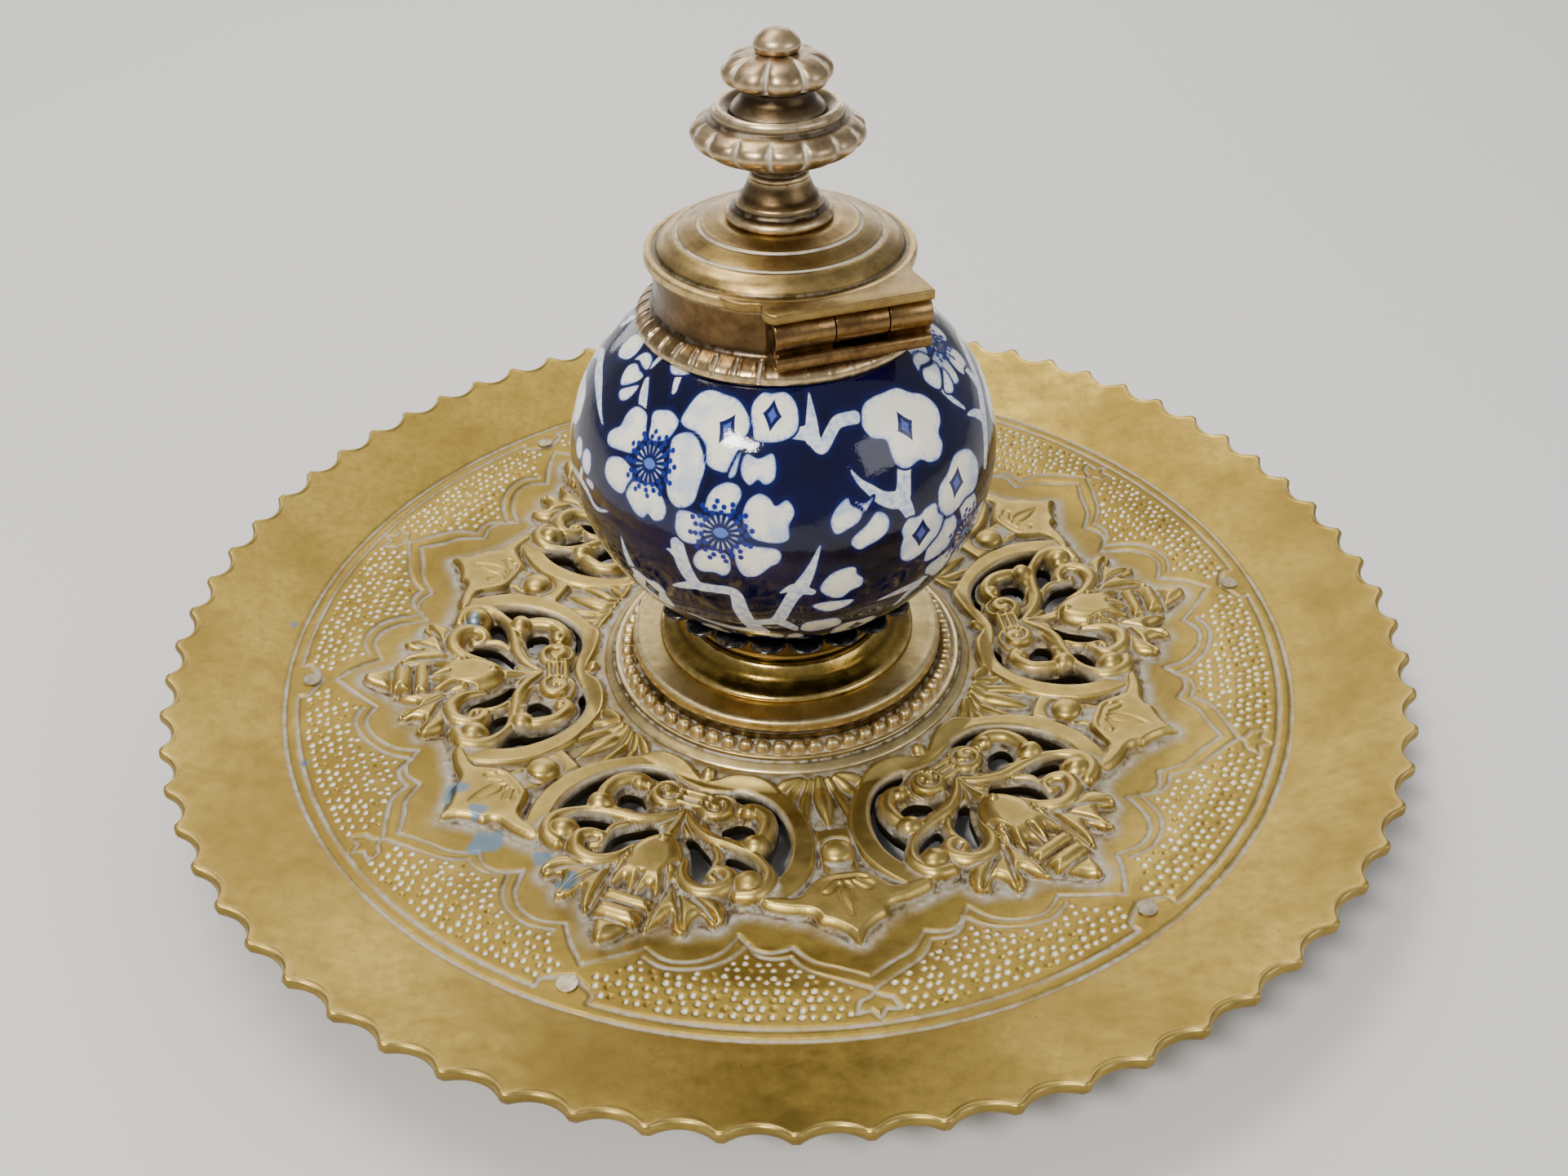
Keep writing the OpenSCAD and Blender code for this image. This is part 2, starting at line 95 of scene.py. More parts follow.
def declared(name, mesh, material, body, node):
    """Object made of a mesh, riding on a body in a CAD node's place."""
    mesh.materials.append(material)
    obj = in_scene(name, mesh)
    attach(obj, body)
    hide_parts(node)
    return obj


def piece(name, verts, quads, material, body, slot, node, marks, corner_marks=None):
    """Piece made of points in mm and quads. marks hold a number per point and corner_marks three per
    corner, as {name: array}, for the materials to read."""
    mesh = bpy.data.meshes.new(name)
    mesh.vertices.add(len(verts))
    mesh.vertices.foreach_set("co", (verts * MM).astype(np.float32).ravel())
    mesh.loops.add(quads.size)
    mesh.loops.foreach_set("vertex_index", quads.astype(np.int32).ravel())
    mesh.polygons.add(len(quads))
    mesh.polygons.foreach_set("loop_start", np.arange(len(quads), dtype=np.int32) * 4)
    mesh.update(calc_edges=True)
    mesh.validate()
    mesh.shade_smooth()
    for label, values in marks.items():
        made = mesh.attributes.new(label, "FLOAT", "POINT")
        made.data.foreach_set("value", np.asarray(values, np.float32))
    for label, values in (corner_marks or {}).items():
        made = mesh.attributes.new(label, "FLOAT_VECTOR", "CORNER")
        made.data.foreach_set("vector", np.asarray(values, np.float32).ravel())
    return declared(name, mesh, material, body, node)


def grid_faces(rows, cols, wrap=False, start=0):
    """Quads of a grid whose points run row by row."""
    r, c = np.meshgrid(np.arange(rows - 1), np.arange(cols if wrap else cols - 1), indexing="ij")
    d = (c + 1) % cols
    quads = np.stack([r * cols + c, r * cols + d, (r + 1) * cols + d, (r + 1) * cols + c], -1)
    return quads.reshape(-1, 4) + start


def smooth_path(points, steps=6, closed=False):
    """Catmull-Rom points through the given ones, of any width."""
    p = np.asarray(points, float)
    n = len(p)
    ends = range(n) if closed else range(n - 1)
    t = np.linspace(0, 1, steps, endpoint=False)[:, None]
    out = []
    for i in ends:
        a, b, c, d = (p[(i + k) % n] if closed else p[min(max(i + k, 0), n - 1)] for k in (-1, 0, 1, 2))
        out.append(b + 0.5 * t * (c - a + t * (2 * a - 5 * b + 4 * c - d + t * (3 * b - 3 * c + d - a))))
    if not closed:
        out.append(p[-1:])
    return np.concatenate(out)


def lathe(profile, sides, bend=None):
    """Points and quads of a turned surface about Z. bend(r, z, angle) may move the points."""
    angle = np.arange(sides) * TURN / sides
    r, a = np.meshgrid(profile[:, 0], angle, indexing="ij")
    z = np.repeat(profile[:, 1][:, None], sides, 1)
    if bend:
        r, z = bend(r, z, a)
    verts = np.stack([r * np.cos(a), r * np.sin(a), z], -1).reshape(-1, 3)
    return verts, grid_faces(len(profile), sides, wrap=True)[:, ::-1]


def eased(corners, soft=0.3):
    """Profile with its corners rounded. A corner is [r, z] or [r, z, its own rounding]."""
    out = []
    for i, corner in enumerate(corners):
        p = np.array(corner[:2], float)
        reach = corner[2] if len(corner) > 2 else soft
        if i in (0, len(corners) - 1) or reach == 0:
            out.append(p)
            continue
        sides = []
        for other in (corners[i - 1], corners[i + 1]):
            away = np.array(other[:2], float) - p
            length = max(np.hypot(*away), 1e-6)
            sides.append(p + away / length * min(reach, 0.45 * length))
        for t in np.linspace(0, 1, 5):
            out.append((1 - t) ** 2 * sides[0] + 2 * t * (1 - t) * p + t * t * sides[1])
    return np.array(out)


def resampled(profile, step):
    """Profile with extra points, so that no stretch is longer than step."""
    out = [profile[0]]
    for a, b in zip(profile, profile[1:]):
        n = max(1, int(math.ceil(np.hypot(*(b - a)) / step)))
        out.extend(a + (b - a) * k / n for k in range(1, n + 1))
    return np.array(out)


def hollows(profile):
    """How far each point lies behind the chord that spans it: positive in a hollow."""
    reach = 0.9
    run = np.concatenate([[0], np.cumsum(np.hypot(*np.diff(profile, axis=0).T))])
    before = np.stack([np.interp(run - reach, run, profile[:, k]) for k in (0, 1)], 1)
    after = np.stack([np.interp(run + reach, run, profile[:, k]) for k in (0, 1)], 1)
    chord = after - before
    normal = np.stack([chord[:, 1], -chord[:, 0]], 1) / np.maximum(np.hypot(*chord.T), 1e-6)[:, None]
    return ((profile - (before + after) / 2) * -normal).sum(1)


def turned(name, profile, material, body, slot, node, sides=192, bend=None, fine=1.2, lines=(),
           above=0, dark=None):
    """Turned piece. Its profile runs up its outside, so the outside faces out. bend(r, z, angle) may
    move the points, and says where its flutes are. lines are the radii of incised rings that hold
    pale polish, where they lie above a height, and dark(r, z) is near 1 where painted shade darkens
    the piece, under a part that overhangs it."""
    profile = resampled(profile, fine)
    flutes = []

    def shape(r, z, a):
        r, z, flute = bend(r, z, a)
        flutes.append(flute.ravel())
        return r, z
    verts, quads = lathe(profile, sides, shape if bend else None)
    deep = np.repeat(hollows(profile), sides)
    chalk = np.clip(flutes[0], 0, 1) if bend else np.zeros(len(verts))
    for ring in lines:
        filled = np.clip(1.6 - np.abs(profile[:, 0] - ring) / 0.2, 0, 1) * (profile[:, 1] > above)
        chalk = np.maximum(chalk, np.repeat(filled, sides))
    marks = {"residue": np.clip(deep * 3.2, 0, 1), "wear": np.clip(-deep * 2.6, 0, 1) * (1 - chalk),
             "chalk": chalk}
    # The dark(r, z) mark is painted shade, for places that lie under another part
    if dark:
        marks["painted_shade"] = np.repeat(dark(profile[:, 0], profile[:, 1]).astype(float), sides)
    return piece(name, verts, quads[:, ::-1], material, body, slot, node, marks)


# ---------------------------------------------------------------- ornament of the dish

def along(x, y, path, reach):
    """Distance to a path, and where along it in points. Beyond reach of its box the distance is big."""
    best = np.full(x.shape, 1e3)
    spot = np.zeros(x.shape)
    lo, hi = path.min(0)[:2] - reach, path.max(0)[:2] + reach
    inside = np.flatnonzero((x > lo[0]) & (x < hi[0]) & (y > lo[1]) & (y < hi[1]))
    px, py = x[inside], y[inside]
    d0, s0 = best[inside], spot[inside]
    for i in range(len(path) - 1):
        ax, ay = path[i][:2]
        dx, dy = path[i + 1][:2] - path[i][:2]
        t = np.clip(((px - ax) * dx + (py - ay) * dy) / max(dx * dx + dy * dy, 1e-9), 0, 1)
        d = np.hypot(px - ax - t * dx, py - ay - t * dy)
        nearer = d < d0
        d0 = np.where(nearer, d, d0)
        s0 = np.where(nearer, i + t, s0)
    best[inside], spot[inside] = d0, s0
    return best, spot


def within(x, y, outline):
    """True where a point lies inside the closed outline."""
    hit = np.zeros(x.shape, bool)
    for (ax, ay), (bx, by) in zip(outline, np.roll(outline, -1, axis=0)):
        if ay == by:
            continue
        crosses = (ay > y) != (by > y)
        hit ^= crosses & (x < (bx - ax) * (y - ay) / (by - ay) + ax)
    return hit


def edge_distance(x, y, outline, reach):
    """Distance to a closed outline, negative inside it."""
    closed = np.vstack([outline, outline[:1]])
    d, _ = along(x, y, closed, reach)
    return np.where(within(x, y, outline), -d, d)


def tube(x, y, points, height, steps=6):
    """Rounded cord along points [x, y, radius]; height is its rise as a share of its radius."""
    path = smooth_path(points, steps)
    d, spot = along(x, y, path, path[:, 2].max() + 0.5)
    radius = np.interp(spot, np.arange(len(path)), path[:, 2])
    return height * radius * np.sqrt(np.clip(1 - (d / radius) ** 2, 0, None))


def dome(x, y, cx, cy, rx, ry, height):
    """Raised dome on an ellipse."""
    return height * np.sqrt(np.clip(1 - ((x - cx) / rx) ** 2 - ((y - cy) / ry) ** 2, 0, None))


def volute(x, y, cx, cy, radius, height, way, start):
    """Flat scroll end with a spiral cut into it. way is 1 or -1, start is in degrees."""
    d = np.hypot(x - cx, y - cy)
    rise = height * np.sqrt(np.clip(1 - (d / radius) ** 4, 0, None))
    turn = np.linspace(0, 2.7 * math.pi, 32)
    reach = radius * (0.98 - 0.80 * turn / turn[-1])
    angle = math.radians(start) + way * turn
    spiral = np.stack([cx + reach * np.cos(angle), cy + reach * np.sin(angle)], 1)
    cut, _ = along(x, y, spiral, 1.5)
    return rise - 1.1 * np.exp(-(cut / 0.40) ** 2) * (d < radius)


def leaf(x, y, outline, height, edge, veins):
    """Raised silhouette with a rounded edge and grooves along its veins."""
    shape = smooth_path(outline, 3, closed=True)
    inside = np.clip(-edge_distance(x, y, shape, 2) / edge, 0, 1)
    rise = height * np.sqrt(1 - (1 - inside) ** 2)
    for v in veins:
        d, _ = along(x, y, smooth_path(v, 4), 2)
        rise = rise - 0.5 * height * np.exp(-(d / 0.44) ** 2) * (inside > 0)
    return np.clip(rise, 0, None)


def groove(x, y, points, width, steps=4):
    """1 on the line, falling to 0 beside it."""
    path = smooth_path(points, steps)
    d, _ = along(x, y, path, 3 * width)
    return np.exp(-(d / width) ** 2)


def polar(points):
    """Points given as [degrees from the group's axis, radius], in the group's frame."""
    return [[r * math.sin(math.radians(a)), r * math.cos(math.radians(a))] for a, r in points]


# Piercings on the right of a group's axis
HOLES = [
    [[6.2, 42.3], [9, 41.7], [12.6, 42.3], [15.9, 44.4], [18.8, 47.6], [20.8, 51.4], [21.8, 55.6],
     [21.6, 58.6], [20.2, 57.9], [17.8, 56], [17.9, 53], [17.6, 50], [16.6, 46.6], [14.1, 43.8],
     [11, 42.9], [8.2, 43.3]],
    [[11.9, 59.4], [13.6, 60.2], [15.2, 60.7], [16.8, 60.2], [17.6, 58.9], [15.4, 57.6],
     [12.4, 57], [11.2, 57.4]],
    [[2.6, 56.2], [4.4, 58.2], [6.2, 61.4], [7.6, 64], [9.4, 64.6], [9.7, 62.2], [9.6, 60.4],
     [8.6, 58.6], [6.4, 56.9], [4, 55.3]],
    [[7.6, 51.2], [8.6, 52.9], [11.4, 53.2], [13, 52], [13.4, 49.8], [12.2, 48.6], [9.8, 48.7],
     [8.6, 49.8]],
]
# Spiral scroll ends: centre, radius, rise, way of the spiral and where it starts in degrees
VOLUTES = [(5.0, 47.2, 4.1, 2.5, -1, 100)]
# Cords of the scrollwork: [x, y, radius] along each, and the rise
CORDS = [
    ([[0.2, 50.2, 1.1], [2.9, 52.9, 1.2], [6.5, 54.9, 1.35], [11.2, 55.4, 1.4], [16.2, 56.5, 1.4],
      [19.8, 59.2, 1.6], [20.9, 62.3, 1.8], [19.8, 65.3, 1.9], [17.2, 66.4, 1.7]], 1.5),
    ([[3.8, 51.2, 0.9], [5.2, 53.2, 0.9], [9, 54.4, 1], [12.6, 54.1, 1.1]], 1.4),
    ([[15.6, 53, 1.7], [15.7, 50.4, 1.9], [15, 47.7, 1.9], [13, 45.8, 1.9], [10.8, 45.4, 1.7],
      [9, 46.2, 1.4]], 1.35),
    ([[4.9, 61.6, 1], [6.2, 65.4, 1.6], [9.4, 67.8, 1.9], [13, 67, 2], [14.7, 63.8, 1.9],
      [13.2, 61.7, 1.6], [11, 61.6, 1.3], [10.4, 63.2, 1.1], [11.8, 64, 1]], 1.35),
    ([[0, 51, 1.1], [0, 53.6, 1], [0, 57, 1.4]], 1.6),
    ([[0.4, 51.4, 0.8], [1.6, 54, 0.8], [3.6, 55.8, 0.7]], 1.5),
    ([[8.6, 56.8, 0.9], [10.3, 58.8, 1.1], [10.4, 61, 1]], 1.5),
    ([[9, 52.4, 0.8], [10.4, 54, 1]], 1.5),
]
# Raised domes: centre, radii and rise
DOMES = [(17.8, 63.1, 3.2, 3.1, 3.6), (15.2, 54, 2.9, 2.6, 3.3), (0, 59.3, 1.5, 1.6, 3.7),
         (4.1, 65.2, 0.8, 1.2, 3.3), (0, 40.3, 1.5, 1.8, 1.9), (12.6, 50.9, 0.5, 0.5, 1.2),
         (10.9, 46.4, 1.9, 1.8, 2.6)]
# Petals and leaves: outline, rise, edge width, veins
LEAVES = [
    ([[0, 73.6], [1.3, 71.6], [2.4, 70.4], [4.1, 71.9], [5.1, 69.2], [5.7, 66], [5.2, 62.6],
      [3.9, 59.6], [2, 57.6], [0, 56.9], [-2, 57.6], [-3.9, 59.6], [-5.2, 62.6], [-5.7, 66],
      [-5.1, 69.2], [-4.1, 71.9], [-2.4, 70.4], [-1.3, 71.6]], 3.1, 3,
     [[[0, 73], [0.1, 68.5]], [[5, 70], [3.6, 66.6], [4.6, 63.4]]]),
    ([[4.4, 66.5], [4.6, 70.5], [4.5, 74.6], [5.3, 78.9], [7.2, 76.8], [8.4, 74.3], [9.8, 77.2],
      [12, 77.6], [12.1, 74.8], [13.1, 72.8], [15.6, 74.2], [17.3, 72.6], [16.4, 69.8], [14.4, 68.2],
      [12, 68.4], [9, 68.8], [6.9, 67.4], [5.6, 64.6]], 2.3, 1.9,
     [[[5.6, 67.6], [5.5, 72], [5.5, 77.6]], [[6.6, 68.6], [9, 72.6], [11.2, 76.6]],
      [[8, 69.4], [12, 70.8], [15.8, 73]]]),
    ([[-3.9, 72.4], [3.9, 72.4], [4.2, 73.8], [3.9, 75.2], [-3.9, 75.2], [-4.2, 73.8]], 2.1, 1.4,
     []),
    ([[-3.4, 75.6], [3.4, 75.6], [4, 77.3], [3.5, 79.4], [-3.5, 79.4], [-4, 77.3]], 2.8, 2.2, []),
    ([[-2.6, 79.5], [2.6, 79.5], [2.5, 81.4], [1.7, 83.5], [0.6, 84.7], [-0.6, 84.7], [-1.7, 83.5],
      [-2.5, 81.4]], 2.5, 2.4, []),
]
# The boss axis between two groups has a frame of its own, with +Y outwards along it
BOSS_R = 58.2
BOSS_LEAF = [[0, 79.6], [1.9, 77.2], [3.9, 75.4], [5.9, 74.2], [6.5, 72.8], [7.8, 71.9], [10.8, 71.2],
             [14.4, 69.6], [15.6, 67.4], [13.4, 66.4], [11, 67], [8.4, 67.2], [6.8, 65.6],
             [5.4, 64.2], [3.6, 63], [0, 62.6]]
BOSS_VEINS = [[[0, 73.4], [1, 70.4], [1.1, 67.6], [0, 66.2]],
              [[1.3, 66.4], [3.2, 68.2], [4.4, 67.4], [2.4, 65.4]], [[0, 65], [2.4, 65], [3.6, 65.6]]]
PALMETTE_CORDS = [
    ([[0, 39.6, 1.1], [0, 43, 1.9], [0, 47, 1.5], [0, 50.8, 0.4]], 1.0),
    ([[1.6, 39.6, 0.8], [3.1, 43, 1.2], [4, 46.8, 1.1], [3.8, 50.4, 0.5]], 1.1),
    ([[3, 39.4, 0.8], [5.6, 42, 1.2], [7, 45, 0.9], [7, 47.6, 0.4]], 1.1),
    ([[3.6, 38.9, 0.9], [6.4, 39.8, 1.2], [8.6, 40.6, 0.9]], 1.0),
]
STRAP = [[0, 42.5, 1.7], [2.5, 41.9, 1.9], [6, 40.5, 2.3], [9.7, 40, 2.5], [12.9, 40.8, 2.5],
         [16.4, 43, 2.5], [19.9, 46.1, 2.6], [22.4, 49.8, 2.6], [23.8, 53.5, 2.6],
         [24.2, 57.4, 2.6], [23.8, 61.4, 2.5], [23.4, 65.2, 1.9]]
# Engraved outline, as [degrees from the group's axis, radius]: its lobes meet in cusps
OGEE_LOBES = [[[0, 90], [2.6, 86.4], [5.1, 82.4]],
              [[5.1, 82.4], [8, 84.4], [11, 83.6], [13.6, 80.6], [15.3, 76.3]],
              [[15.3, 76.3], [17.4, 79.2], [19.6, 79.9], [22, 78.6]],
              [[22, 78.6], [24.4, 82.3], [27.2, 84.4], [30, 87.3]]]
OUTER_LOBES = [[[2.7, 96.7], [2.6, 94.8], [0, 92.6]],
               [[0, 92.6], [-3, 88.6], [-5.5, 84.9]],
               [[5.5, 84.9], [8.2, 86.4], [11.7, 85.3], [14.6, 82.2], [16.6, 77.9]],
               [[16.6, 77.9], [18, 80.6], [19.8, 81.4], [21.8, 80.9]],
               [[21.8, 80.9], [23.6, 84.4], [26.6, 87.1], [30, 90.2]]]
LOBE_CROSSING = [[-5.5, 84.9], [-3, 88.6], [0, 92.6], [2.6, 94.8]]
LILY = [[0, 96], [0.7, 94.2], [2.1, 94.6], [1.6, 92.2], [0.4, 91.4], [0, 90.4]]


def mirrored(outline):
    """The whole outline of a shape given by its right half, from top to bottom."""
    half = np.asarray(outline, float)
    return np.vstack([half, (half * [-1, 1])[::-1][1:-1]])


def stipple(rng):
    """Places of the punched dots between the engraved outline and the border, right half."""
    bound = smooth_path(polar(OUTER_LOBES[2] + OUTER_LOBES[3][1:] + OUTER_LOBES[4][1:]), 4)
    lines = [smooth_path(polar(p), 4) for p in OUTER_LOBES]
    edge_angle = np.degrees(np.arctan2(bound[:, 0], bound[:, 1]))
    edge_r = np.hypot(bound[:, 0], bound[:, 1])
    pitch, places = 1.95, []
    first_angle, first_r = OUTER_LOBES[2][0]
    half = 180 / GROUPS
    for row, row_r in enumerate(np.arange(79.5, 96.2, pitch * 0.87)):
        count = int(math.radians(half) * row_r / pitch)
        for k in range(count):
            a = (k + 0.5 * (row % 2) + 0.25) / count * half + rng.normal(0, 0.16)
            r = row_r + rng.normal(0, 0.22)
            floor_r = first_r + 1.45 * (first_angle - a) if a < first_angle \
                else np.interp(a, edge_angle, edge_r)
            if r >= floor_r + 1.1 and 0.4 <= a <= half:
                places.append((a, r))
    x, y = np.array(polar(places)).T
    keep = np.ones(len(x), bool)
    for line in lines:
        keep &= along(x, y, line, 3)[0] > 1.05
    bx, by = to_boss(x, y)
    keep &= ~((np.abs(bx) < 4.4) & (by > 89.6))
    keep &= np.hypot(x, y - FOOT_RING_R) > 3.4
    return np.stack([x, y], 1)[keep]


def to_boss(x, y):
    """The group's frame to that of the boss axis on its right."""
    c, s = math.cos(math.pi / GROUPS), math.sin(math.pi / GROUPS)
    return x * c - y * s, x * s + y * c


def relief(x, y):
    """Height above the plate and share of the engraving's depth, for points in a group's frame."""
    x = np.abs(x)
    r = np.hypot(x, y)
    bx, by = to_boss(x, y)
    bx = np.abs(bx)
    strap = smooth_path(STRAP, 5)
    d, spot = along(x, y, strap, 4)
    half = np.interp(spot, np.arange(len(strap)), strap[:, 2])
    rise = 1.5 * np.clip((half - d) / 0.9, 0, 1) ** 0.5
    field_w, field_from, field_to = 3.4, 51.5, 66       # raised field that the boss stands on
    field = np.clip((field_w - bx) / 0.6, 0, 1) * np.clip((by - field_from) / 0.8, 0, 1) \
        * np.clip((field_to - by) / 0.8, 0, 1)
    rise = np.maximum(rise, 1.3 * field)
    outline = smooth_path(mirrored(BOSS_LEAF), 3, closed=True)
    rise = np.maximum(rise, 1.9 * np.clip(-edge_distance(bx, by, outline, 3) / 1.3, 0, 1) ** 0.6)
    for points, height in PALMETTE_CORDS:
        rise = np.maximum(rise, tube(bx, by, points, height))
    for points, height in CORDS:
        rise = np.maximum(rise, tube(x, y, points, height))
    for scroll in VOLUTES:
        rise = np.where(np.hypot(x - scroll[0], y - scroll[1]) < scroll[2] * 0.9,
                        volute(x, y, *scroll), np.maximum(rise, volute(x, y, *scroll)))
    for outline, height, edge, veins in LEAVES:
        rise = np.maximum(rise, leaf(x, y, outline, height, edge, veins))
    for cx, cy, rx, ry, height in DOMES:
        rise = np.maximum(rise, dome(x, y, cx, cy, rx, ry, height))
    rise = np.where(np.hypot(bx, by - BOSS_R) < 3, 1.2 + dome(bx, by, 0, BOSS_R, 3, 3, 1.7), rise)
    for rung in (45.4, 47.0, 48.6):
        rise = np.maximum(rise, tube(x, y, [[-3, rung, 0.85], [3, rung, 0.85]], 2.6, 2))
    cut = 1.3 * np.exp(-((np.hypot(bx, by - BOSS_R) - 3.4) / 0.5) ** 2)
    for line in BOSS_VEINS:
        cut = np.maximum(cut, 0.8 * groove(bx, by, line, 0.36))
    for lobe in OGEE_LOBES + OUTER_LOBES + [LOBE_CROSSING]:
        cut = np.maximum(cut, groove(x, y, polar(lobe), 0.36))
    cut = np.maximum(cut, groove(bx, by, polar(LILY), 0.3, 1))
    ring_r, inner_ring_r, ring_w = 99.2, 96.9, 0.34
    beyond = np.degrees(np.arctan2(x, y)) > OUTER_LOBES[0][0][0]
    ring = np.exp(-((r - ring_r) / ring_w) ** 2)
    inner_ring = np.exp(-((r - inner_ring_r) / ring_w) ** 2) * beyond
    return rise, np.maximum(cut, np.maximum(ring, inner_ring))


def plate_z(r):
    """Top of the plain dish at radius r. It sags a little where the ornament is."""
    r = np.asarray(r, float)
    down, back = np.clip((r - SEAT_R - 0.8) / 4, 0, 1), np.clip((r - 78) / 12, 0, 1)
    sag = SAG * down * down * (3 - 2 * down) * (1 - back * back * (3 - 2 * back))
    return np.interp(r, [SEAT_R, BORDER_R, DISH_R], [SEAT_Z, BORDER_Z, RIM_Z]) - sag


def blurred(field, reach):
    """Separable box blur, twice, over reach grid steps to each side."""
    out = field
    for _ in range(2):
        for axis in (0, 1):
            pad = [(reach, reach) if k == axis else (0, 0) for k in (0, 1)]
            total = np.cumsum(np.pad(out, pad, mode="edge"), axis=axis)
            total = np.concatenate([np.zeros_like(total.take([0], axis)), total], axis)
            n = out.shape[axis]
            upper = total.take(range(2 * reach + 1, 2 * reach + 1 + n), axis)
            out = (upper - total.take(range(n), axis)) / (2 * reach + 1)
    return out


def sector_grid(rows, cols):
    """Polar grid over one group, with no points left near a piercing's edge but on it: x, y in its
    frame and the distance to the nearest piercing."""
    a = np.linspace(-math.pi / GROUPS, math.pi / GROUPS, cols)
    r, a = np.meshgrid(np.linspace(*SECTOR_R, rows), a, indexing="ij")
    step = (SECTOR_R[1] - SECTOR_R[0]) / (rows - 1)
    return snapped((r * np.sin(a)).ravel(), (r * np.cos(a)).ravel(), step)


def pierced(x, y):
    """Distance to the nearest piercing's edge, negative inside a piercing."""
    x = np.abs(x)
    edges = [edge_distance(x, y, smooth_path(outline, 4, closed=True), 4) for outline in HOLES]
    return np.min(edges, axis=0)


def snapped(x, y, step):
    """Moves points near a piercing's edge onto it, and returns them with their distance to it."""
    d = pierced(x, y)
    eps = 0.02
    near = np.abs(d) < 0.62 * step
    gx = (pierced(x + eps, y) - d) / eps
    gy = (pierced(x, y + eps) - d) / eps
    size = np.maximum(np.hypot(gx, gy), 1e-6)
    x = np.where(near, x - d * gx / size, x)
    y = np.where(near, y - d * gy / size, y)
    return x, y, np.where(near, 0.0, d)


def open_edges(faces):
    """Directed edges that belong to one face only, as (from, to)."""
    a = faces.ravel()
    b = np.roll(faces, -1, axis=1).ravel()
    key = np.minimum(a, b).astype(np.int64) * (faces.max() + 1) + np.maximum(a, b)
    order = np.argsort(key, kind="stable")
    ks = key[order]
    alone = np.ones(len(ks), bool)
    alone[1:] &= ks[1:] != ks[:-1]
    alone[:-1] &= ks[:-1] != ks[1:]
    pick = order[alone]
    return a[pick], b[pick]


def punched(x, y):
    """Depth of the punched dots as a share, and how full of pale polish they are."""
    rng = np.random.default_rng(7)
    dots = stipple(rng)
    dots = np.vstack([dots, dots * [-1, 1]])
    punch, fill = np.zeros(x.shape), np.zeros(x.shape)
    pale = rng.random(len(dots)) > 0.12
    sizes = rng.uniform(0.44, 0.6, len(dots))
    for (dx, dy), filled, size in zip(dots, pale, sizes):
        near = np.flatnonzero((np.abs(x - dx) < 0.9) & (np.abs(y - dy) < 0.9))
        d = np.hypot(x[near] - dx, y[near] - dy)
        punch[near] = np.maximum(punch[near], np.clip(1 - (d / (size + 0.06)) ** 2, 0, 1))
        fill[near] = np.maximum(fill[near], np.clip((size - d) / 0.13, 0, 1) * filled)
    return punch, fill


def sector_shape():
    """One ornament group in its own frame: points, quads and marks."""
    rows, cols, under_rows, under_cols = 236, 361, 90, 91
    x, y, hole = sector_grid(rows, cols)
    rise, cut = relief(x, y)
    punch, fill = punched(x, y)
    r = np.hypot(x, y)
    fade = np.clip((r - SEAT_R - 0.2) / 1.2, 0, 1)
    edge = np.clip(1 - hole / 1.1, 0, 1)
    height = rise * fade - 0.5 * edge ** 2 * np.clip(rise + 0.4, 0, 1)
    grid = height.reshape(rows, cols)
    cavity = (blurred(grid, 4) - grid + 0.7 * (blurred(grid, 9) - grid)).ravel()
    z = plate_z(r) + height - 0.32 * cut - 0.26 * punch
    worn = np.clip(rise - 0.9, 0, 0.5) * (cavity < 0.1)
    residue = np.clip(1.25 * cavity, 0, 1) + 0.8 * cut * (rise < 0.2) + 0.45 * edge
    marks = {"residue": np.clip(residue, 0, 1), "wear": np.clip(-cavity * 1.1 + worn, 0, 1),
             "punch": fill, "depth": np.zeros(x.shape)}
    quads = grid_faces(rows, cols)[:, ::-1]
    quads = quads[hole[quads].mean(1) > 1e-6]
    # Walls of the piercings go down to the underside, by way of a row just below the top. The depth mark
    # paints shade from that row down the walls and over the whole underside, so the piercings look dark.
    a, b = open_edges(quads)
    on_hole = (hole[a] == 0) & (hole[b] == 0)
    a, b = a[on_hole], b[on_hole]
    rim, back = np.unique(np.concatenate([a, b]), return_inverse=True)
    ia, ib = back[:len(a)] + len(x), back[len(a):] + len(x)
    walls = [np.stack([b, a, ia, ib], 1), np.stack([ib, ia, len(rim) + ia, len(rim) + ib], 1)]
    # Underside, on a coarser grid
    ux, uy, under_hole = sector_grid(under_rows, under_cols)
    under = grid_faces(under_rows, under_cols)
    under = under[under_hole[under].mean(1) > 1e-6] + len(x) + 2 * len(rim)
    # The depth mark is painted shade: 0.9 and 1 on the walls' two rows, 1 on the underside
    for name, values in marks.items():
        wall = {"residue": (0.2, 0), "depth": (0.9, 1)}.get(name, (0, 0))
        below = np.full(len(ux), float(name == "depth"))
        marks[name] = np.concatenate([values, np.repeat(wall, len(rim)), below])
    floor = plate_z(r[rim])
    z = np.concatenate([z, floor - 0.45, floor - DISH_T, plate_z(np.hypot(ux, uy)) - DISH_T])
    x = np.concatenate([x, x[rim], x[rim], ux])
    y = np.concatenate([y, y[rim], y[rim], uy])
    return x, y, z, np.vstack([quads, *walls, under]), marks


def drop_unused(verts, quads, marks):
    used, back = np.unique(quads, return_inverse=True)
    return verts[used], back.reshape(quads.shape), {k: v[used] for k, v in marks.items()}


# Drops of tarnish: place and size in mm
STAINS = [(-61.2, -41.7, 2.9), (-56, -47.6, 2.1), (-54.2, -54.3, 3.3), (-52.4, -53.2, 2.4),
          (-38.2, -64.5, 2.3), (-65.3, 6.9, 2), (-43.5, -57.6, 2), (-77, -7.8, 1.2),
          (-89.2, -36.8, 1), (-101.3, 3.3, 1)]


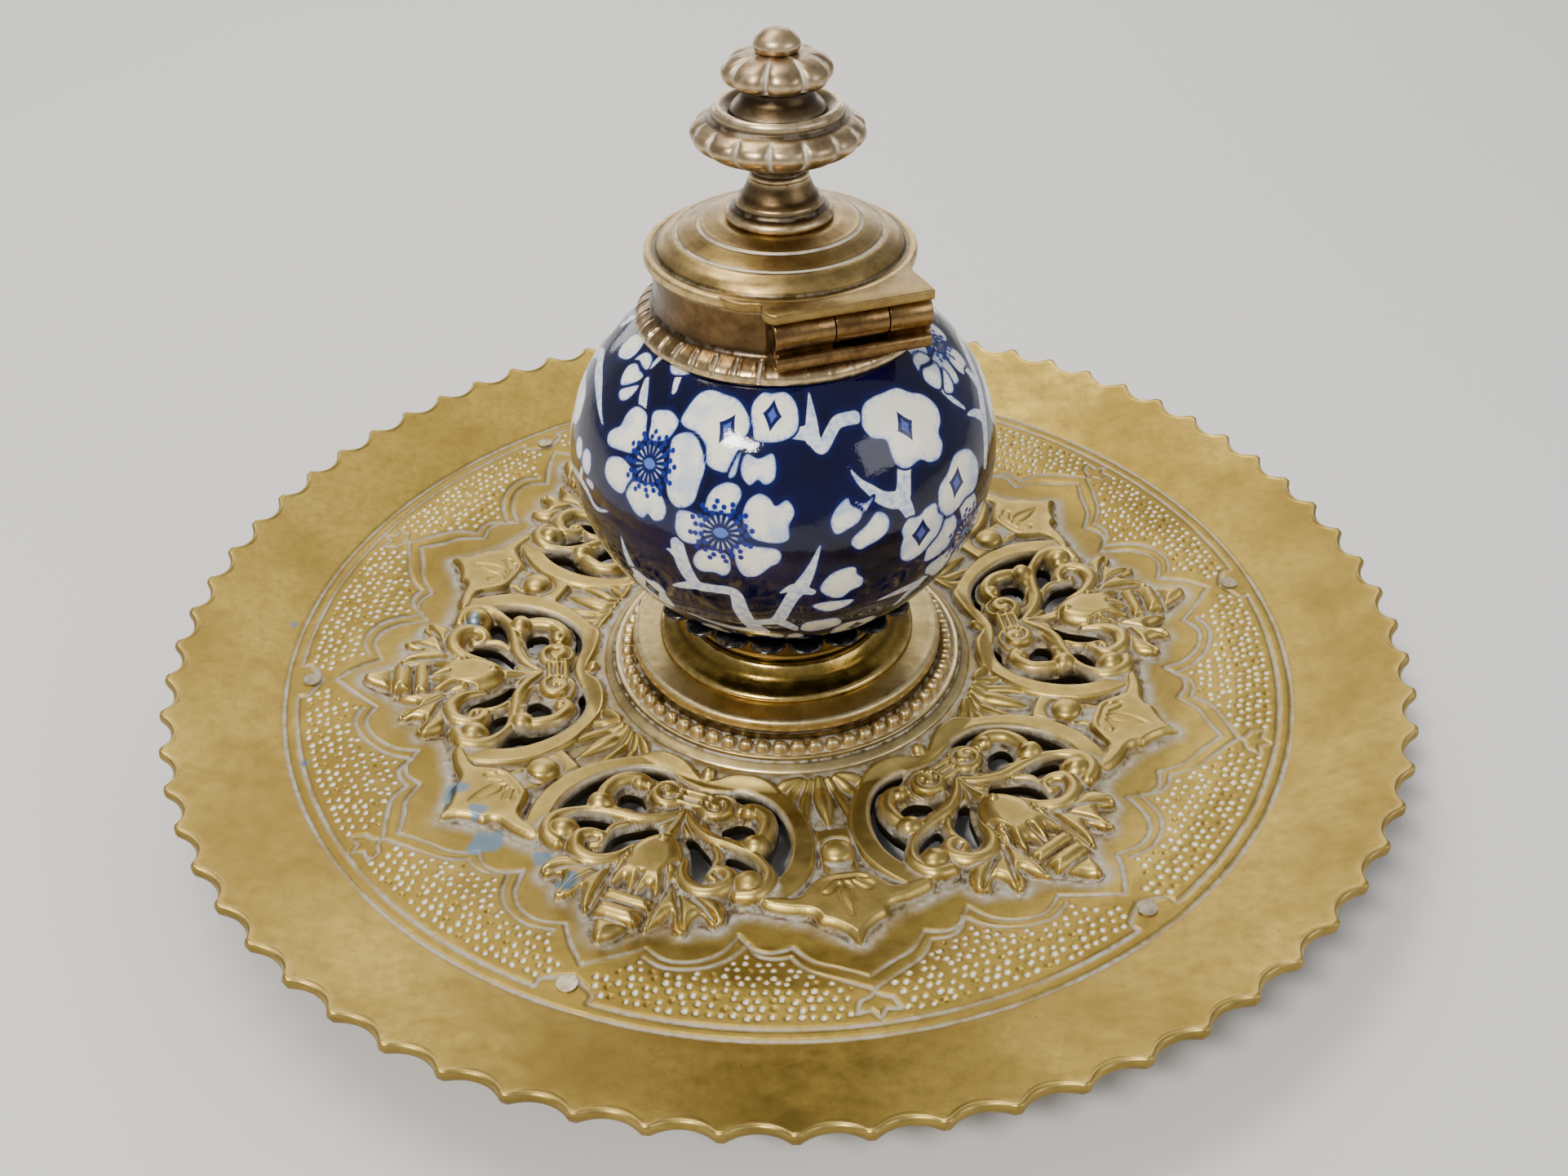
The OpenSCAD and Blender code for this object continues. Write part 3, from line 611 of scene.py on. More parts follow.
def stain_of(verts):
    """Blue-grey tarnish left by drops, 1 in a drop's middle."""
    mark = np.zeros(len(verts))
    for sx, sy, size in STAINS:
        d = np.hypot(verts[:, 0] - sx, verts[:, 1] - sy)
        wobble = 1 + 0.22 * np.sin(3 * np.arctan2(verts[:, 1] - sy, verts[:, 0] - sx) + sx)
        mark = np.maximum(mark, np.clip((1.1 - d / (0.85 * size * wobble)) / 0.35, 0, 1))
    return mark


def build_dish(material):
    x, y, z, quads, marks = sector_shape()
    for i in range(GROUPS):
        a = GROUP_DIR + i * TURN / GROUPS - math.pi / 2
        verts = np.stack([x * math.cos(a) - y * math.sin(a), x * math.sin(a) + y * math.cos(a), z], 1)
        v, q, m = drop_unused(verts, quads, marks)
        m["stain"] = stain_of(v)
        piece(f"dish_group_{i}", v, q, material, "base", "dish_brass", "dish", m)
    build_rim(material)


def build_rim(material):
    """Plain border with the scalloped edge, and the outer underside."""
    cols = SCALLOPS * 20
    pitch, tip_w, depth = TURN * DISH_R / SCALLOPS, 1.2, 1.9
    a = np.arange(cols) * TURN / cols
    bite_r = ((pitch - tip_w) ** 2 / 4 + depth ** 2) / (2 * depth)
    off = np.abs((a * SCALLOPS / TURN) % 1 - 0.5) * pitch
    scoop = np.clip(np.sqrt(np.clip(bite_r ** 2 - off ** 2, 0, None)) - (bite_r - depth), 0, None)
    edge_r, pull, inner = DISH_R - scoop, scoop / depth, SECTOR_R[1]
    rows = []       # radius, height and depth mark of each row
    for t in np.linspace(0, 1, 22) ** 0.8:
        r = inner + (edge_r - 1.1 - inner) * t
        rows.append([r, plate_z(r), 0])
    # The depth mark paints shade down the rolled edge and over the underside rows below it
    for back, drop in [(0.55, 0.12), (0.2, 0.42), (0, 0.9), (0, 1.6), (0.15, 2.2), (0.5, DISH_T)]:
        z = plate_z(edge_r) - drop * (1 + 0.25 * pull * (drop < 1))
        rows.append([edge_r - back * (1 + 0.9 * pull), z, min(drop / 1.2, 1)])
    for r in (112, 106, inner):
        rows.append([r, plate_z(r) - DISH_T, 1])
    r, z, deep = (np.array([np.full(cols, row[k], float) for row in rows]) for k in range(3))
    verts = np.stack([r * np.cos(a), r * np.sin(a), z], -1).reshape(-1, 3)
    quads = grid_faces(len(rows), cols, wrap=True)[:, ::-1]
    worn = np.exp(-((r - edge_r + 0.6) / 0.7) ** 2) * (deep < 0.5)
    zero = np.zeros(len(verts))
    piece("dish_rim", verts, quads, material, "base", "dish_brass", "dish",
          {"residue": zero, "wear": worn.ravel(), "punch": zero, "depth": deep.ravel() * 0.4,
           "stain": stain_of(verts)})


# ---------------------------------------------------------------- pot

POT_R = high("ink_pot")[0]
POT_FOOT_Z = low("ink_pot")[2]
POT_NECK_Z = high("ink_pot")[2]
POT_FOOT_R = 23.5
POT_LOW, POT_HIGH = 36.3, 32.0
BELLY_Z = POT_FOOT_Z + POT_LOW * math.sqrt(1 - (POT_FOOT_R / POT_R) ** 2)
NECK_R = POT_R * math.sqrt(1 - ((POT_NECK_Z - BELLY_Z) / POT_HIGH) ** 2)
POT_WALL = 3.6
MAP = POT_R * math.pi / 180     # mm of the painted map for each degree round the belly
MAP_FROM, MAP_SPAN = 170, 180   # degrees round where the map starts, and how far round it goes
MAP_ENDS = (MAP_FROM * MAP, (MAP_FROM + MAP_SPAN) * MAP)
MAP_TURNS = (-MAP_SPAN, 0, MAP_SPAN)    # the map is laid twice, and shapes run on over its ends

# Painted shapes. A place is [degrees round, mm up the outside from the foot]; outlines are mm from it
OPEN_PETALS = [
    [[-3.4, 8.1], [-1.2, 9.1], [0.9, 9.3], [3.1, 8.4], [3.4, 7.2], [2.4, 5], [0, 3.9], [-1.9, 4],
     [-2.6, 5.9]],
    [[3.3, 4.9], [4.3, 6.2], [6.3, 6.9], [8.4, 6.4], [10.2, 4.5], [11.3, 2], [10.8, -0.9],
     [10.2, -3.7], [8.8, -5.1], [6.8, -5.5], [5.1, -4.1], [4.4, -1.9], [4.3, 0], [3.9, 2.1]],
    [[-2.6, -3.9], [-3.7, -5.1], [-4.1, -6.6], [-3, -8], [-1.2, -9.4], [0.4, -9.5], [1.3, -8.4],
     [2.7, -9.2], [4.5, -8.4], [5, -6.4], [3.8, -4.4], [2, -3.2], [-0.4, -3.7]],
    [[-4.4, -1.8], [-6.6, -1.3], [-8.7, -1.8], [-10.1, -2.7], [-10.5, -4.3], [-10, -5.9],
     [-8.4, -6.9], [-5.9, -7.3], [-4.6, -6.7], [-4, -5.1], [-3.2, -3.5], [-3.6, -2.2]],
    [[-12.3, 0.2], [-12.3, 1.3], [-11.2, 2.4], [-10, 3.4], [-9.9, 5.6], [-8.7, 7.4], [-6.6, 7.7],
     [-4.6, 7.1], [-3.7, 5.6], [-2.9, 3.8], [-4, 2], [-4.6, 0.4], [-7.3, -0.2], [-10.1, -0.7],
     [-11.6, -0.6]],
]
WIDE_PETALS = [
    [[-2.5, 6.1], [-1.4, 7.6], [0.7, 8.6], [2.7, 8.2], [3.3, 6.7], [2.5, 4.9], [1.8, 3.6],
     [-1.1, 3.6], [-2.9, 3.6], [-2.8, 5]],
    [[3.8, 4.2], [4.6, 6.1], [6.4, 7.2], [8.2, 6.5], [9.3, 5.2], [11.2, 6.2], [12.4, 4.2],
     [11.4, 1.9], [11.4, -0.3], [10, -1.1], [7.5, -1], [5.4, -0.3], [4.5, 1.1], [3.8, 2.6]],
    [[2.2, -2.8], [3.4, -1.7], [6.1, -1.9], [9.1, -2.2], [10.1, -3.3], [9.6, -4.9], [8.2, -5.8],
     [6.1, -7.8], [4, -8.1], [2.9, -6.7], [2.4, -4.6]],
    [[-3, -3.6], [-4.3, -4.6], [-5.1, -6.7], [-3.9, -8.4], [-1.4, -8.1], [0.2, -8.6], [1.4, -7.4],
     [1.6, -5.6], [1.1, -4], [-0.7, -3.5]],
    [[-8.2, 0.4], [-7.9, 2.2], [-6.1, 2.7], [-4.3, 2.4], [-3.3, 2.1], [-3, 0.6], [-3.4, -1.4],
     [-4.3, -2.8], [-6.1, -3.1], [-7.5, -2.4], [-8.2, -1]],
]
ROUND_BLOOMS = {
    "drooping": [[-10.4, 1.1], [-8.9, 4.6], [-6.1, 5.9], [-2.5, 5.6], [1.1, 5], [3.9, 2.7],
                 [4.6, 0.4], [3.4, -2.1], [3.7, -5], [2.1, -6.8], [-0.4, -7], [-2.7, -6.1],
                 [-3.6, -3.4], [-6.1, -1.6], [-8.9, -1.2], [-10.4, -0.4]],
    "small": [[-4.3, 2.3], [-2.4, 3.8], [-0.2, 3.7], [3, 3.9], [5.1, 2.3], [5.7, 0], [5.1, -2.7],
              [2.6, -4.1], [-0.6, -4.5], [-3.3, -4.1], [-3.9, -2.3], [-4.7, 0.4]],
    "wide": [[-8.9, 3.2], [-7.5, 5.4], [-4.6, 6.3], [-1.6, 6.4], [2.5, 6.3], [5.4, 4.5],
             [8.2, 3.1], [9.8, 0.4], [8.9, -2.1], [7, -3.6], [6.9, -5.7], [5, -7.4], [2.5, -7.2],
             [0.6, -6.1], [-2.5, -6.6], [-4.5, -5.4], [-5, -3.2], [-5.2, -1], [-7.9, 0],
             [-9.1, 1.8]],
    "cupped": [[-5.1, -1.4], [-4.5, 1.1], [-1.9, 2.6], [0.6, 4.5], [3.1, 4.6], [5.9, 3.4],
               [7.5, 0.4], [7, -2.5], [5.2, -4.2], [2.4, -4], [0.2, -4.9], [-2.6, -5.2],
               [-4.6, -3.6]],
    "leaning": [[-4.1, 2.1], [-2.7, 3.8], [-0.5, 3.5], [1.2, 4.4], [3.4, 4.4], [3.8, 2.5],
                [5.1, 0.7], [4.1, -1.8], [2.3, -3.2], [0.5, -4.6], [-2, -5.1], [-3.9, -3.9],
                [-4.2, -1.4], [-3.8, 0.4]],
}
BUDS = {
    "closed": [[[-4.8, 0.7], [-3.9, 2.6], [-1.8, 3.2], [0.7, 2.7], [1.9, 0.9], [-0.4, 0.8],
                [-2.9, 1.2]],
               [[-5, -1.1], [-3.2, 0.4], [-0.4, 0], [2.1, -0.4], [1.1, -2], [-2.1, -3.9],
                [-3.9, -3.2]],
               [[-1.6, -4.6], [0.7, -3.1], [2.9, -2.1], [2.5, -4.6], [0.7, -5.9], [-1.1, -5.5]]],
    "hood": [[[-2.9, 1.4], [-2.1, 2.1], [0, 1.4], [2.5, 2.3], [3.2, 0.4], [2.9, -1.8],
              [1.3, -2.7], [0, -1.9], [-1.4, -2.9], [-2.7, -1.8], [-3.2, -0.4]],
             [[-4, 1.8], [-3.6, 2.2], [-3.8, 0.2], [-4.2, -1.6], [-5.4, -1.8]]],
    "trefoil": [[[-5.4, 0.7], [-4.3, 2.5], [-2.3, 3.8], [-1.8, 2.5], [0, 1.1], [-0.7, -0.5],
                 [-2.5, -1.4], [-4.6, -2.1], [-5.4, -0.7]],
                [[-1.8, -3.2], [0.7, -1.4], [2.7, 0.4], [4.6, -0.9], [4.6, -3.2], [2.9, -4.6],
                 [1.1, -5.2], [-0.7, -5.7], [-2, -4.6]],
                [[-1.4, 3.2], [0.7, 2.3], [2.5, 3.2], [1.2, 1.6], [0.6, 0.9], [0.2, 1.8]]],
    "cup": [[[-3.4, 0.4], [-1.8, 2.9], [0.7, 3.9], [2.5, 3.6], [2.9, 2.1], [4.1, 0.7], [3.9, -1.1],
             [2.1, -1.8], [0.7, -3.2], [-1.1, -2.9], [-2.9, -1.4]],
            [[-4.6, -4.5], [-2.5, -3.9], [0.4, -4.1], [2.9, -4.5], [2.5, -5.7], [0.7, -6.8],
             [-1.8, -7], [-3.9, -5.7]]],
    "pair": [[[-4.3, 1.4], [-3.6, 2.7], [-1.8, 2.9], [-0.6, 1.4], [-0.9, -0.4], [-2.1, -0.9],
              [-3.6, -0.4]],
             [[0, 1.4], [1.1, 2.7], [2.9, 2.7], [3.9, 0.7], [3.2, -1.4], [1.1, -1.4], [0.2, -0.4]],
             [[2.5, -2.3], [4.6, -1.8], [5.7, -2.4], [5, -3.4], [2.9, -3.1]]],
    "plain": [[[-4.3, -0.4], [-3.6, 1.8], [-1.1, 2.5], [2.5, 2.4], [4.1, 0.4], [3.6, -1.4],
               [1.1, -2.5], [-1.8, -2.9], [-3.9, -1.8]]],
}
OPEN, ROUND = 1.0, 2.0      # kinds of blossom, as the glaze reads them
OPEN_AT = [([232, 47.5], OPEN_PETALS, 1), ([254.2, 39.1], WIDE_PETALS, 1),
           ([324.7, 28], WIDE_PETALS, -1), ([344.4, 62], WIDE_PETALS, -1)]
ROUND_AT = [([252.9, 56.3], "drooping", 1), ([266.5, 59.1], "small", 1), ([307.5, 53.4], "wide", 1),
            ([319.2, 40.2], "cupped", 1), ([305.7, 34.5], "leaning", 1), ([229.2, 19.8], "leaning", -1),
            ([208.5, 19.5], "cupped", -1), ([181.5, 43], "wide", -1), ([340, 15.5], "small", 1),
            ([212, 8], "small", 1), ([176.6, 22.5], "leaning", 1), ([293, 10.5], "small", -1)]
BUDS_AT = [([211.4, 60.2], "closed"), ([263.1, 50.5], "hood"), ([289.2, 40.9], "trefoil"),
           ([283.5, 28], "cup"), ([204.1, 40.2], "pair"), ([280.3, 15.5], "plain"),
           ([331.4, 59.5], "closed"), ([196.3, 61.6], "plain"), ([228, 65.6], "plain"),
           ([186, 9.5], "pair"), ([321, 13], "cup"), ([270, 9], "pair"), ([244, 8], "cup")]
# Twigs, with points [degrees round, mm up, half width]
TWIGS = [
    [[242.7, 35.2, 1.3], [244.3, 30.2, 1.4], [246.9, 27, 1.2], [251, 26.9, 1], [256.8, 26.6, 1.1],
     [257.9, 21.6, 1.5], [259.5, 17, 1.5], [262.1, 13, 1.9]],
    [[239.6, 33.6, 0.15], [241.4, 33.2, 0.6], [243.6, 32, 1.1]],
    [[239, 24.8, 0.15], [242, 25.6, 0.7], [246.9, 27, 1.1]],
    [[259.5, 17.3, 1.2], [263, 17.8, 1], [267.3, 18.8, 1.3], [269.4, 22.4, 1.2], [271.4, 26, 1.2],
     [273.8, 29, 1.3], [276, 32.4, 0.8], [278.3, 37, 0.15]],
    [[267.3, 18.8, 1.1], [270, 16.9, 1.1], [273, 14.6, 0.8]],
    [[268.6, 27.4, 0.2], [271.6, 28.6, 0.8], [273.8, 28, 1], [276.4, 27.2, 0.7]],
    [[261.6, 13.6, 1.3], [255, 13.2, 1], [248.5, 13.9, 0.8], [239.1, 15.7, 0.2]],
    [[270.4, 55.5, 0.3], [274, 55.9, 0.9], [277.7, 55.7, 1.3], [280.6, 53.4, 1.1], [284, 55.6, 1.1],
     [287.1, 57.2, 1.1], [292.9, 57.3, 1.1]],
    [[278.4, 55.2, 1.5], [278.9, 59, 1], [279.3, 62.7, 0.15]],
    [[287.7, 49.1, 0.15], [289.6, 47, 0.5], [291.8, 45.5, 0.8], [295.5, 43.2, 1.2],
     [300.2, 42.3, 1.6], [301.8, 44.6, 1.4], [302.8, 46.8, 1.4], [304.9, 49.2, 1.5]],
    [[300.2, 42.3, 1.4], [301.6, 40.4, 1.2], [302.5, 38.6, 0.9]],
    [[350, 49.8, 1.2], [345.4, 47.6, 1.2], [341.4, 45.2, 1.3], [337.8, 42, 1], [334.6, 38.2, 0.8]],
    [[332.6, 48.8, 0.15], [337, 47.6, 0.8], [341.4, 45.2, 1.2]],
    [[170, 49.8, 1.2], [175, 52.4, 1.2], [182, 54.4, 1.1], [190, 53.6, 1.2], [198.4, 52.3, 1],
     [209.8, 48.8, 0.15]],
    [[347.4, 48.6, 1], [348, 52.4, 1], [345.6, 56.4, 0.8]],
    [[224.5, 25.2, 1], [224.1, 28.4, 0.6], [223.9, 31.6, 0.15]],
    [[171, 28.4, 0.3], [178, 30.6, 0.7], [190, 33.8, 0.7], [200.4, 35.9, 0.8], [207.8, 35.6, 0.7],
     [213, 33.8, 0.5], [219.2, 35.2, 0.15]],
    [[204.6, 38.4, 0.6], [203.6, 36, 0.7]],
    [[295.5, 20.9, 0.15], [302, 21.3, 0.8], [309.1, 20.9, 1.2], [306.6, 18.6, 1], [304.3, 15.6, 0.5]],
    [[309.1, 20.9, 1.2], [314, 23.6, 0.8], [318.4, 25.4, 0.5]],
    [[227.6, 64.8, 1.1], [229, 62.4, 0.9], [230.5, 60.2, 0.6]],
    [[217, 59.6, 0.6], [219.4, 57.6, 1], [222.4, 55.2, 1]],
    [[215.4, 64.6, 0.8], [214.6, 62, 0.6]],
    [[327.6, 55.4, 0.4], [330, 52.6, 0.6], [333, 50, 0.3]],
    [[232.4, 15.4, 0.8], [228, 12.8, 0.9], [222, 12.2, 0.7], [217, 9.4, 0.4]],
]


def pot_outside(count):
    """Points [r, z] up the outside at even steps, and how far up each is."""
    low_turn = np.linspace(-math.acos(POT_FOOT_R / POT_R), 0, 400)
    high_turn = np.linspace(0, math.acos(NECK_R / POT_R), 400)[1:]
    r = POT_R * np.cos(np.concatenate([low_turn, high_turn]))
    z = BELLY_Z + np.concatenate([POT_LOW * np.sin(low_turn), POT_HIGH * np.sin(high_turn)])
    run = np.concatenate([[0], np.cumsum(np.hypot(np.diff(r), np.diff(z)))])
    even = np.linspace(0, run[-1], count)
    return np.stack([np.interp(even, run, r), np.interp(even, run, z)], 1), even


def painted(degrees, up):
    """Distance to the white shapes (negative inside) and to the twigs, over the painted map."""
    far, line_w, twig_gap = 9.0, 0.5, 0.42
    x = ((degrees - MAP_FROM) % MAP_SPAN + MAP_FROM) * MAP
    white = np.full(x.shape, far)

    def paint(place, outline, flip=1):
        """Lays a shape over the earlier ones, with a dark line round it."""
        nonlocal white
        for turn in MAP_TURNS:
            shape = np.array(outline) * [flip, 1] + [(place[0] + turn) * MAP, place[1]]
            if shape[:, 0].max() < MAP_ENDS[0] - 1 or shape[:, 0].min() > MAP_ENDS[1] + 1:
                continue
            d = edge_distance(x, up, smooth_path(shape, 4, closed=True), 4)
            white = np.minimum(np.maximum(white, line_w - d), d)
    for place, petals, flip in OPEN_AT:
        for petal in petals:
            paint(place, petal, flip)
    for place, kind, flip in ROUND_AT:
        paint(place, ROUND_BLOOMS[kind], flip)
    for place, kind in BUDS_AT:
        for lobe in BUDS[kind]:
            paint(place, lobe)
    twig = np.full(x.shape, far)
    for points in TWIGS:
        for turn in MAP_TURNS:
            path = smooth_path((np.array(points) + [turn, 0, 0]) * [MAP, 1, 1], 5)
            d, spot = along(x, up, path, 4)
            twig = np.minimum(twig, d - np.interp(spot, np.arange(len(path)), path[:, 2]))
    return white, np.maximum(twig, twig_gap - white)


def bloom_places(degrees, up):
    """For each corner [quads, 4], the place within the nearest blossom and the blossom's kind."""
    middle = degrees.mean(1)
    on_map = (middle - MAP_FROM) % MAP_SPAN + MAP_FROM
    x = (degrees + (on_map - middle)[:, None]) * MAP
    bloom_r = 7.2
    best = np.full(len(x), bloom_r)
    out = np.zeros(degrees.shape + (3,))
    centres = [(place, OPEN, 0.0) for place, _, _ in OPEN_AT] + \
        [(place, ROUND, math.radians(17 * i % 50 - 25)) for i, (place, _, _) in enumerate(ROUND_AT)]
    for turn in MAP_TURNS:
        for (deg, mm), kind, tilt in centres:
            dx, dy = x - (deg + turn) * MAP, up - mm
            near = np.hypot(dx.mean(1), dy.mean(1))
            closer = near < best
            best = np.where(closer, near, best)
            c, s = math.cos(tilt), math.sin(tilt)
            spot = np.stack([dx * c + dy * s, dy * c - dx * s, np.full(dx.shape, kind)], -1)
            out[closer] = spot[closer]
    return out


def build_pot(material):
    rows, cols = 160, 560
    outside, up = pot_outside(rows)
    inner_turn = np.linspace(math.radians(48), math.radians(-40), 10)
    inside = [[(POT_R - POT_WALL) * math.cos(a),
               BELLY_Z + ((POT_HIGH if a > 0 else POT_LOW) - POT_WALL) * math.sin(a)]
              for a in inner_turn]
    mouth_r = NECK_R - 2.6
    profile = np.vstack([[[POT_FOOT_R - 1.2, POT_FOOT_Z]], outside,
                         [[NECK_R - 0.6, POT_NECK_Z], [mouth_r, POT_NECK_Z]],
                         [p for p in inside if p[0] > mouth_r]])
    verts, quads = lathe(profile, cols)
    quads = quads[:, ::-1]
    unpainted = up[-1] + 9
    heights = np.concatenate([[0], up, np.full(len(profile) - rows - 1, unpainted)])
    degrees = np.tile(np.arange(cols) * 360 / cols, len(profile))
    white, twig = painted(degrees, np.repeat(heights, cols))
    row, col = quads // cols, quads % cols
    unwrapped = np.where(col < col.max(1)[:, None] - 2, col + cols, col) * 360 / cols
    places = bloom_places(unwrapped, heights[row])
    piece("ink_pot_painted", verts, quads, material, "base", "pot_glaze", "ink_pot",
          {"white": white, "twig": twig}, {"bloom": places.reshape(-1, 3)})


def glaze_ground(s, white, twig):
    """Dark blue, brighter where it has run beside the white."""
    ground = s.mix(s.range(s.noise(0.06, 2), 0.35, 0.65), rgb(0.0008, 0.0009, 0.011),
                   rgb(0.0017, 0.0021, 0.038))
    halo = s.times(s.range(s.calc("MINIMUM", white, twig), 0, 1.1, 1, 0),
                   s.range(s.noise(0.5, 4, 0.6), 0.35, 0.65, 0.1, 0.7))
    return s.mix(halo, ground, rgb(0.004, 0.011, 0.13))


def glaze_petal(s, white):
    """Cream, with washes and patches of blue and a darker edge."""
    petal = s.mix(s.range(s.noise(0.12, 2), 0.4, 0.6, 0, 0.5), rgb(0.97, 0.93, 0.76),
                  rgb(0.93, 0.90, 0.78))
    wash = s.times(s.range(white, -1.5, -0.05), s.range(s.noise(1.3, 3, 0.6), 0.40, 0.62))
    petal = s.mix(wash, petal, rgb(0.30, 0.42, 0.75))
    petal = s.mix(s.range(s.noise(0.17, 3, 0.5), 0.55, 0.70, 0, 0.6), petal, rgb(0.33, 0.46, 0.76))
    return s.mix(s.range(white, -0.34, 0, 0, 0.8), petal, rgb(0.12, 0.22, 0.60))


def glaze_heart(s, r, angle, v):
    """Middle of an open flower: rays round an oval eye."""
    rays = s.range(s.calc("SINE", s.times(angle, 17)), 0.1, 0.7)
    rays = s.times(s.times(rays, s.range(r, 1.5, 2.2)), s.range(s.noise(0.7, 2), 0.38, 0.6, 0.25, 1))
    heart = s.mix(rays, rgb(0.004, 0.009, 0.09), rgb(0.55, 0.63, 0.80))
    oval = s.plus(r, s.times(s.calc("ABSOLUTE", v), 0.5))
    return s.mix(s.range(oval, 1.5, 1.25), heart, rgb(0.09, 0.17, 0.52))


def stamens(s, r, angle, radius, count, start):
    """1 on each of a ring of dots."""
    phase = s.calc("FRACT", s.plus(s.times(angle, count / TURN), start + 9))
    round_it = s.times(s.calc("SUBTRACT", phase, 0.5), TURN * radius / count)
    return s.range(s.length(round_it, s.calc("SUBTRACT", r, radius)), 0.56, 0.42)


def pot_glaze():
    s = Shader("pot_glaze")
    white, twig = s.mark("white"), s.mark("twig")
    bloom = s.add("SeparateXYZ", {0: s.mark("bloom", "Vector")}).outputs
    u, v = bloom[0], bloom[1]
    is_open, is_round = s.same(bloom[2], OPEN), s.same(bloom[2], ROUND)
    r, angle = s.length(u, v), s.calc("ARCTAN2", v, u)
    inner = s.times(s.range(r, 5.6, 3.2, 0, 0.8), s.range(s.noise(1.1, 2), 0.35, 0.6))
    petal = s.mix(s.times(inner, is_open), glaze_petal(s, white), rgb(0.20, 0.32, 0.70))
    colour = s.mix(s.range(white, 0.1, -0.1), glaze_ground(s, white, twig), petal)
    bark = s.mix(s.range(s.noise(0.9, 3), 0.4, 0.65), rgb(0.84, 0.84, 0.80), rgb(0.36, 0.48, 0.76))
    colour = s.mix(s.range(twig, 0.1, -0.1), colour, bark)
    colour = s.mix(s.times(s.range(r, 3.25, 3), is_open), colour, glaze_heart(s, r, angle, v))
    for ring in ((3.5, 14, 0), (4.5, 17, 0.5), (5.4, 12, 0.2)):
        dots = s.times(stamens(s, r, angle, *ring), is_open)
        colour = s.mix(dots, colour, rgb(0.008, 0.020, 0.22))
    # Round blossoms have a dark hollow with four points
    star = s.plus(*[s.calc("POWER", s.calc("DIVIDE", s.calc("ABSOLUTE", part), reach), 0.85)
                    for part, reach in ((u, 2.2), (v, 2.9))])
    hollow = s.mix(s.range(star, 0.60, 0.48), rgb(0.004, 0.008, 0.08), rgb(0.07, 0.11, 0.42))
    colour = s.mix(s.times(s.range(star, 1.03, 0.97), is_round), colour, hollow)
    colour = s.mix(s.range(s.cells(0.28), 0.05, 0.03, 0, 0.5), colour, rgb(0.10, 0.08, 0.09))
    waves = s.plus(s.noise(0.11, 2, 0.4), s.times(s.noise(1.6, 2), 0.05))
    s.set(Base_Color=colour, Roughness=0.07, Normal=s.bump(waves, 0.6, 0.0006),
          Specular_IOR_Level=0.42)
    return s.material


# ---------------------------------------------------------------- pedestal

PLINTH_Z = high("beaded_plinth")[2]
BEAD_RING_R, BEADS = 32.5, 62
STEM_R = 19.4


def squared(v):
    """A sine or cosine that draws a rounded square in place of a circle."""
    return np.sign(v) * np.abs(v) ** 0.6


def build_plinth(material):
    z0, z1, r = SEAT_Z, PLINTH_Z, PLINTH_R
    profile = eased([[r - 4, z0], [r, z0, 0], [r - 0.4, z0 + 0.4], [36, z0 + 0.9], [35.1, z0 + 1.4],
                     [35.1, z0 + 2.1], [34.2, z0 + 2.1], [33.9, z0 + 1.4], [31.1, z0 + 1.4],
                     [30.5, z0 + 2.2], [30.5, z1 - 3], [31.1, z1 - 2.2], [31.1, z1 - 0.5, 0.8],
                     [30.2, z1 - 0.02, 0.5], [24, z1], [STEM_R - 2, z1]])
    place = (material, "base", "plinth_brass", "beaded_plinth")
    turned("plinth", profile, *place, 256, lines=[31.6 + 0.35 * k for k in range(8)])
    rows, cols = 7, 14
    el, t = np.meshgrid(np.linspace(0, math.pi / 2, rows), np.arange(cols) * TURN / cols,
                        indexing="ij")
    verts = []
    for i in range(BEADS):
        a = i * TURN / BEADS
        size = 1 + 0.06 * math.sin(5.1 * i)
        out = BEAD_RING_R + 1.4 * size * squared(np.cos(t)) * np.cos(el) ** 0.6
        side = 1.5 * size * squared(np.sin(t)) * np.cos(el) ** 0.6
        z = z0 + 1.2 + 2.4 * size * np.sin(el) ** 1.15
        verts.append(np.stack([out * math.cos(a) - side * math.sin(a),
                               out * math.sin(a) + side * math.cos(a), z], -1).reshape(-1, 3))
    quads = [grid_faces(rows, cols, wrap=True, start=i * rows * cols) for i in range(BEADS)]
    foot = np.tile((1 - np.sin(el)).ravel() ** 1.5, BEADS)      # 1 at a bead's foot
    piece("plinth_beads", np.concatenate(verts), np.concatenate(quads), *place,
          {"chalk": np.clip(foot * 1.7 - 0.6, 0, 1), "wear": 1 - foot})


def build_stem(bright, material):
    z0, z1 = PLINTH_Z, high("foot_ring")[2]
    r = high("foot_ring")[0]
    profile = eased([[r - 2, z0], [r - 0.2, z0], [r, z0 + 0.5], [r - 0.5, z0 + 1.1], [r - 2, z0 + 1.7],
                     [r - 3.7, z0 + 2.7], [21.1, z0 + 3.9], [20.5, z0 + 4.7], [20, z1], [19.6, z1]],
                    0.7)
    turned("foot_ring_turned", profile, bright, "base", "plinth_brass", "foot_ring", fine=0.6)
    top = high("pot_socket")[2]
    profile = eased([[STEM_R, z0], [STEM_R, z0 + 5.4], [19.8, z0 + 6], [19.6, z0 + 6.6],
                     [20.2, z0 + 8.4, 1.4], [22, top - 1.4, 1], [22.8, top - 0.5], [22.8, top],
                     [STEM_R - 4, top]], 0.5)
    turned("pot_socket_turned", profile, material, "base", "plinth_brass", "pot_socket", fine=0.6)


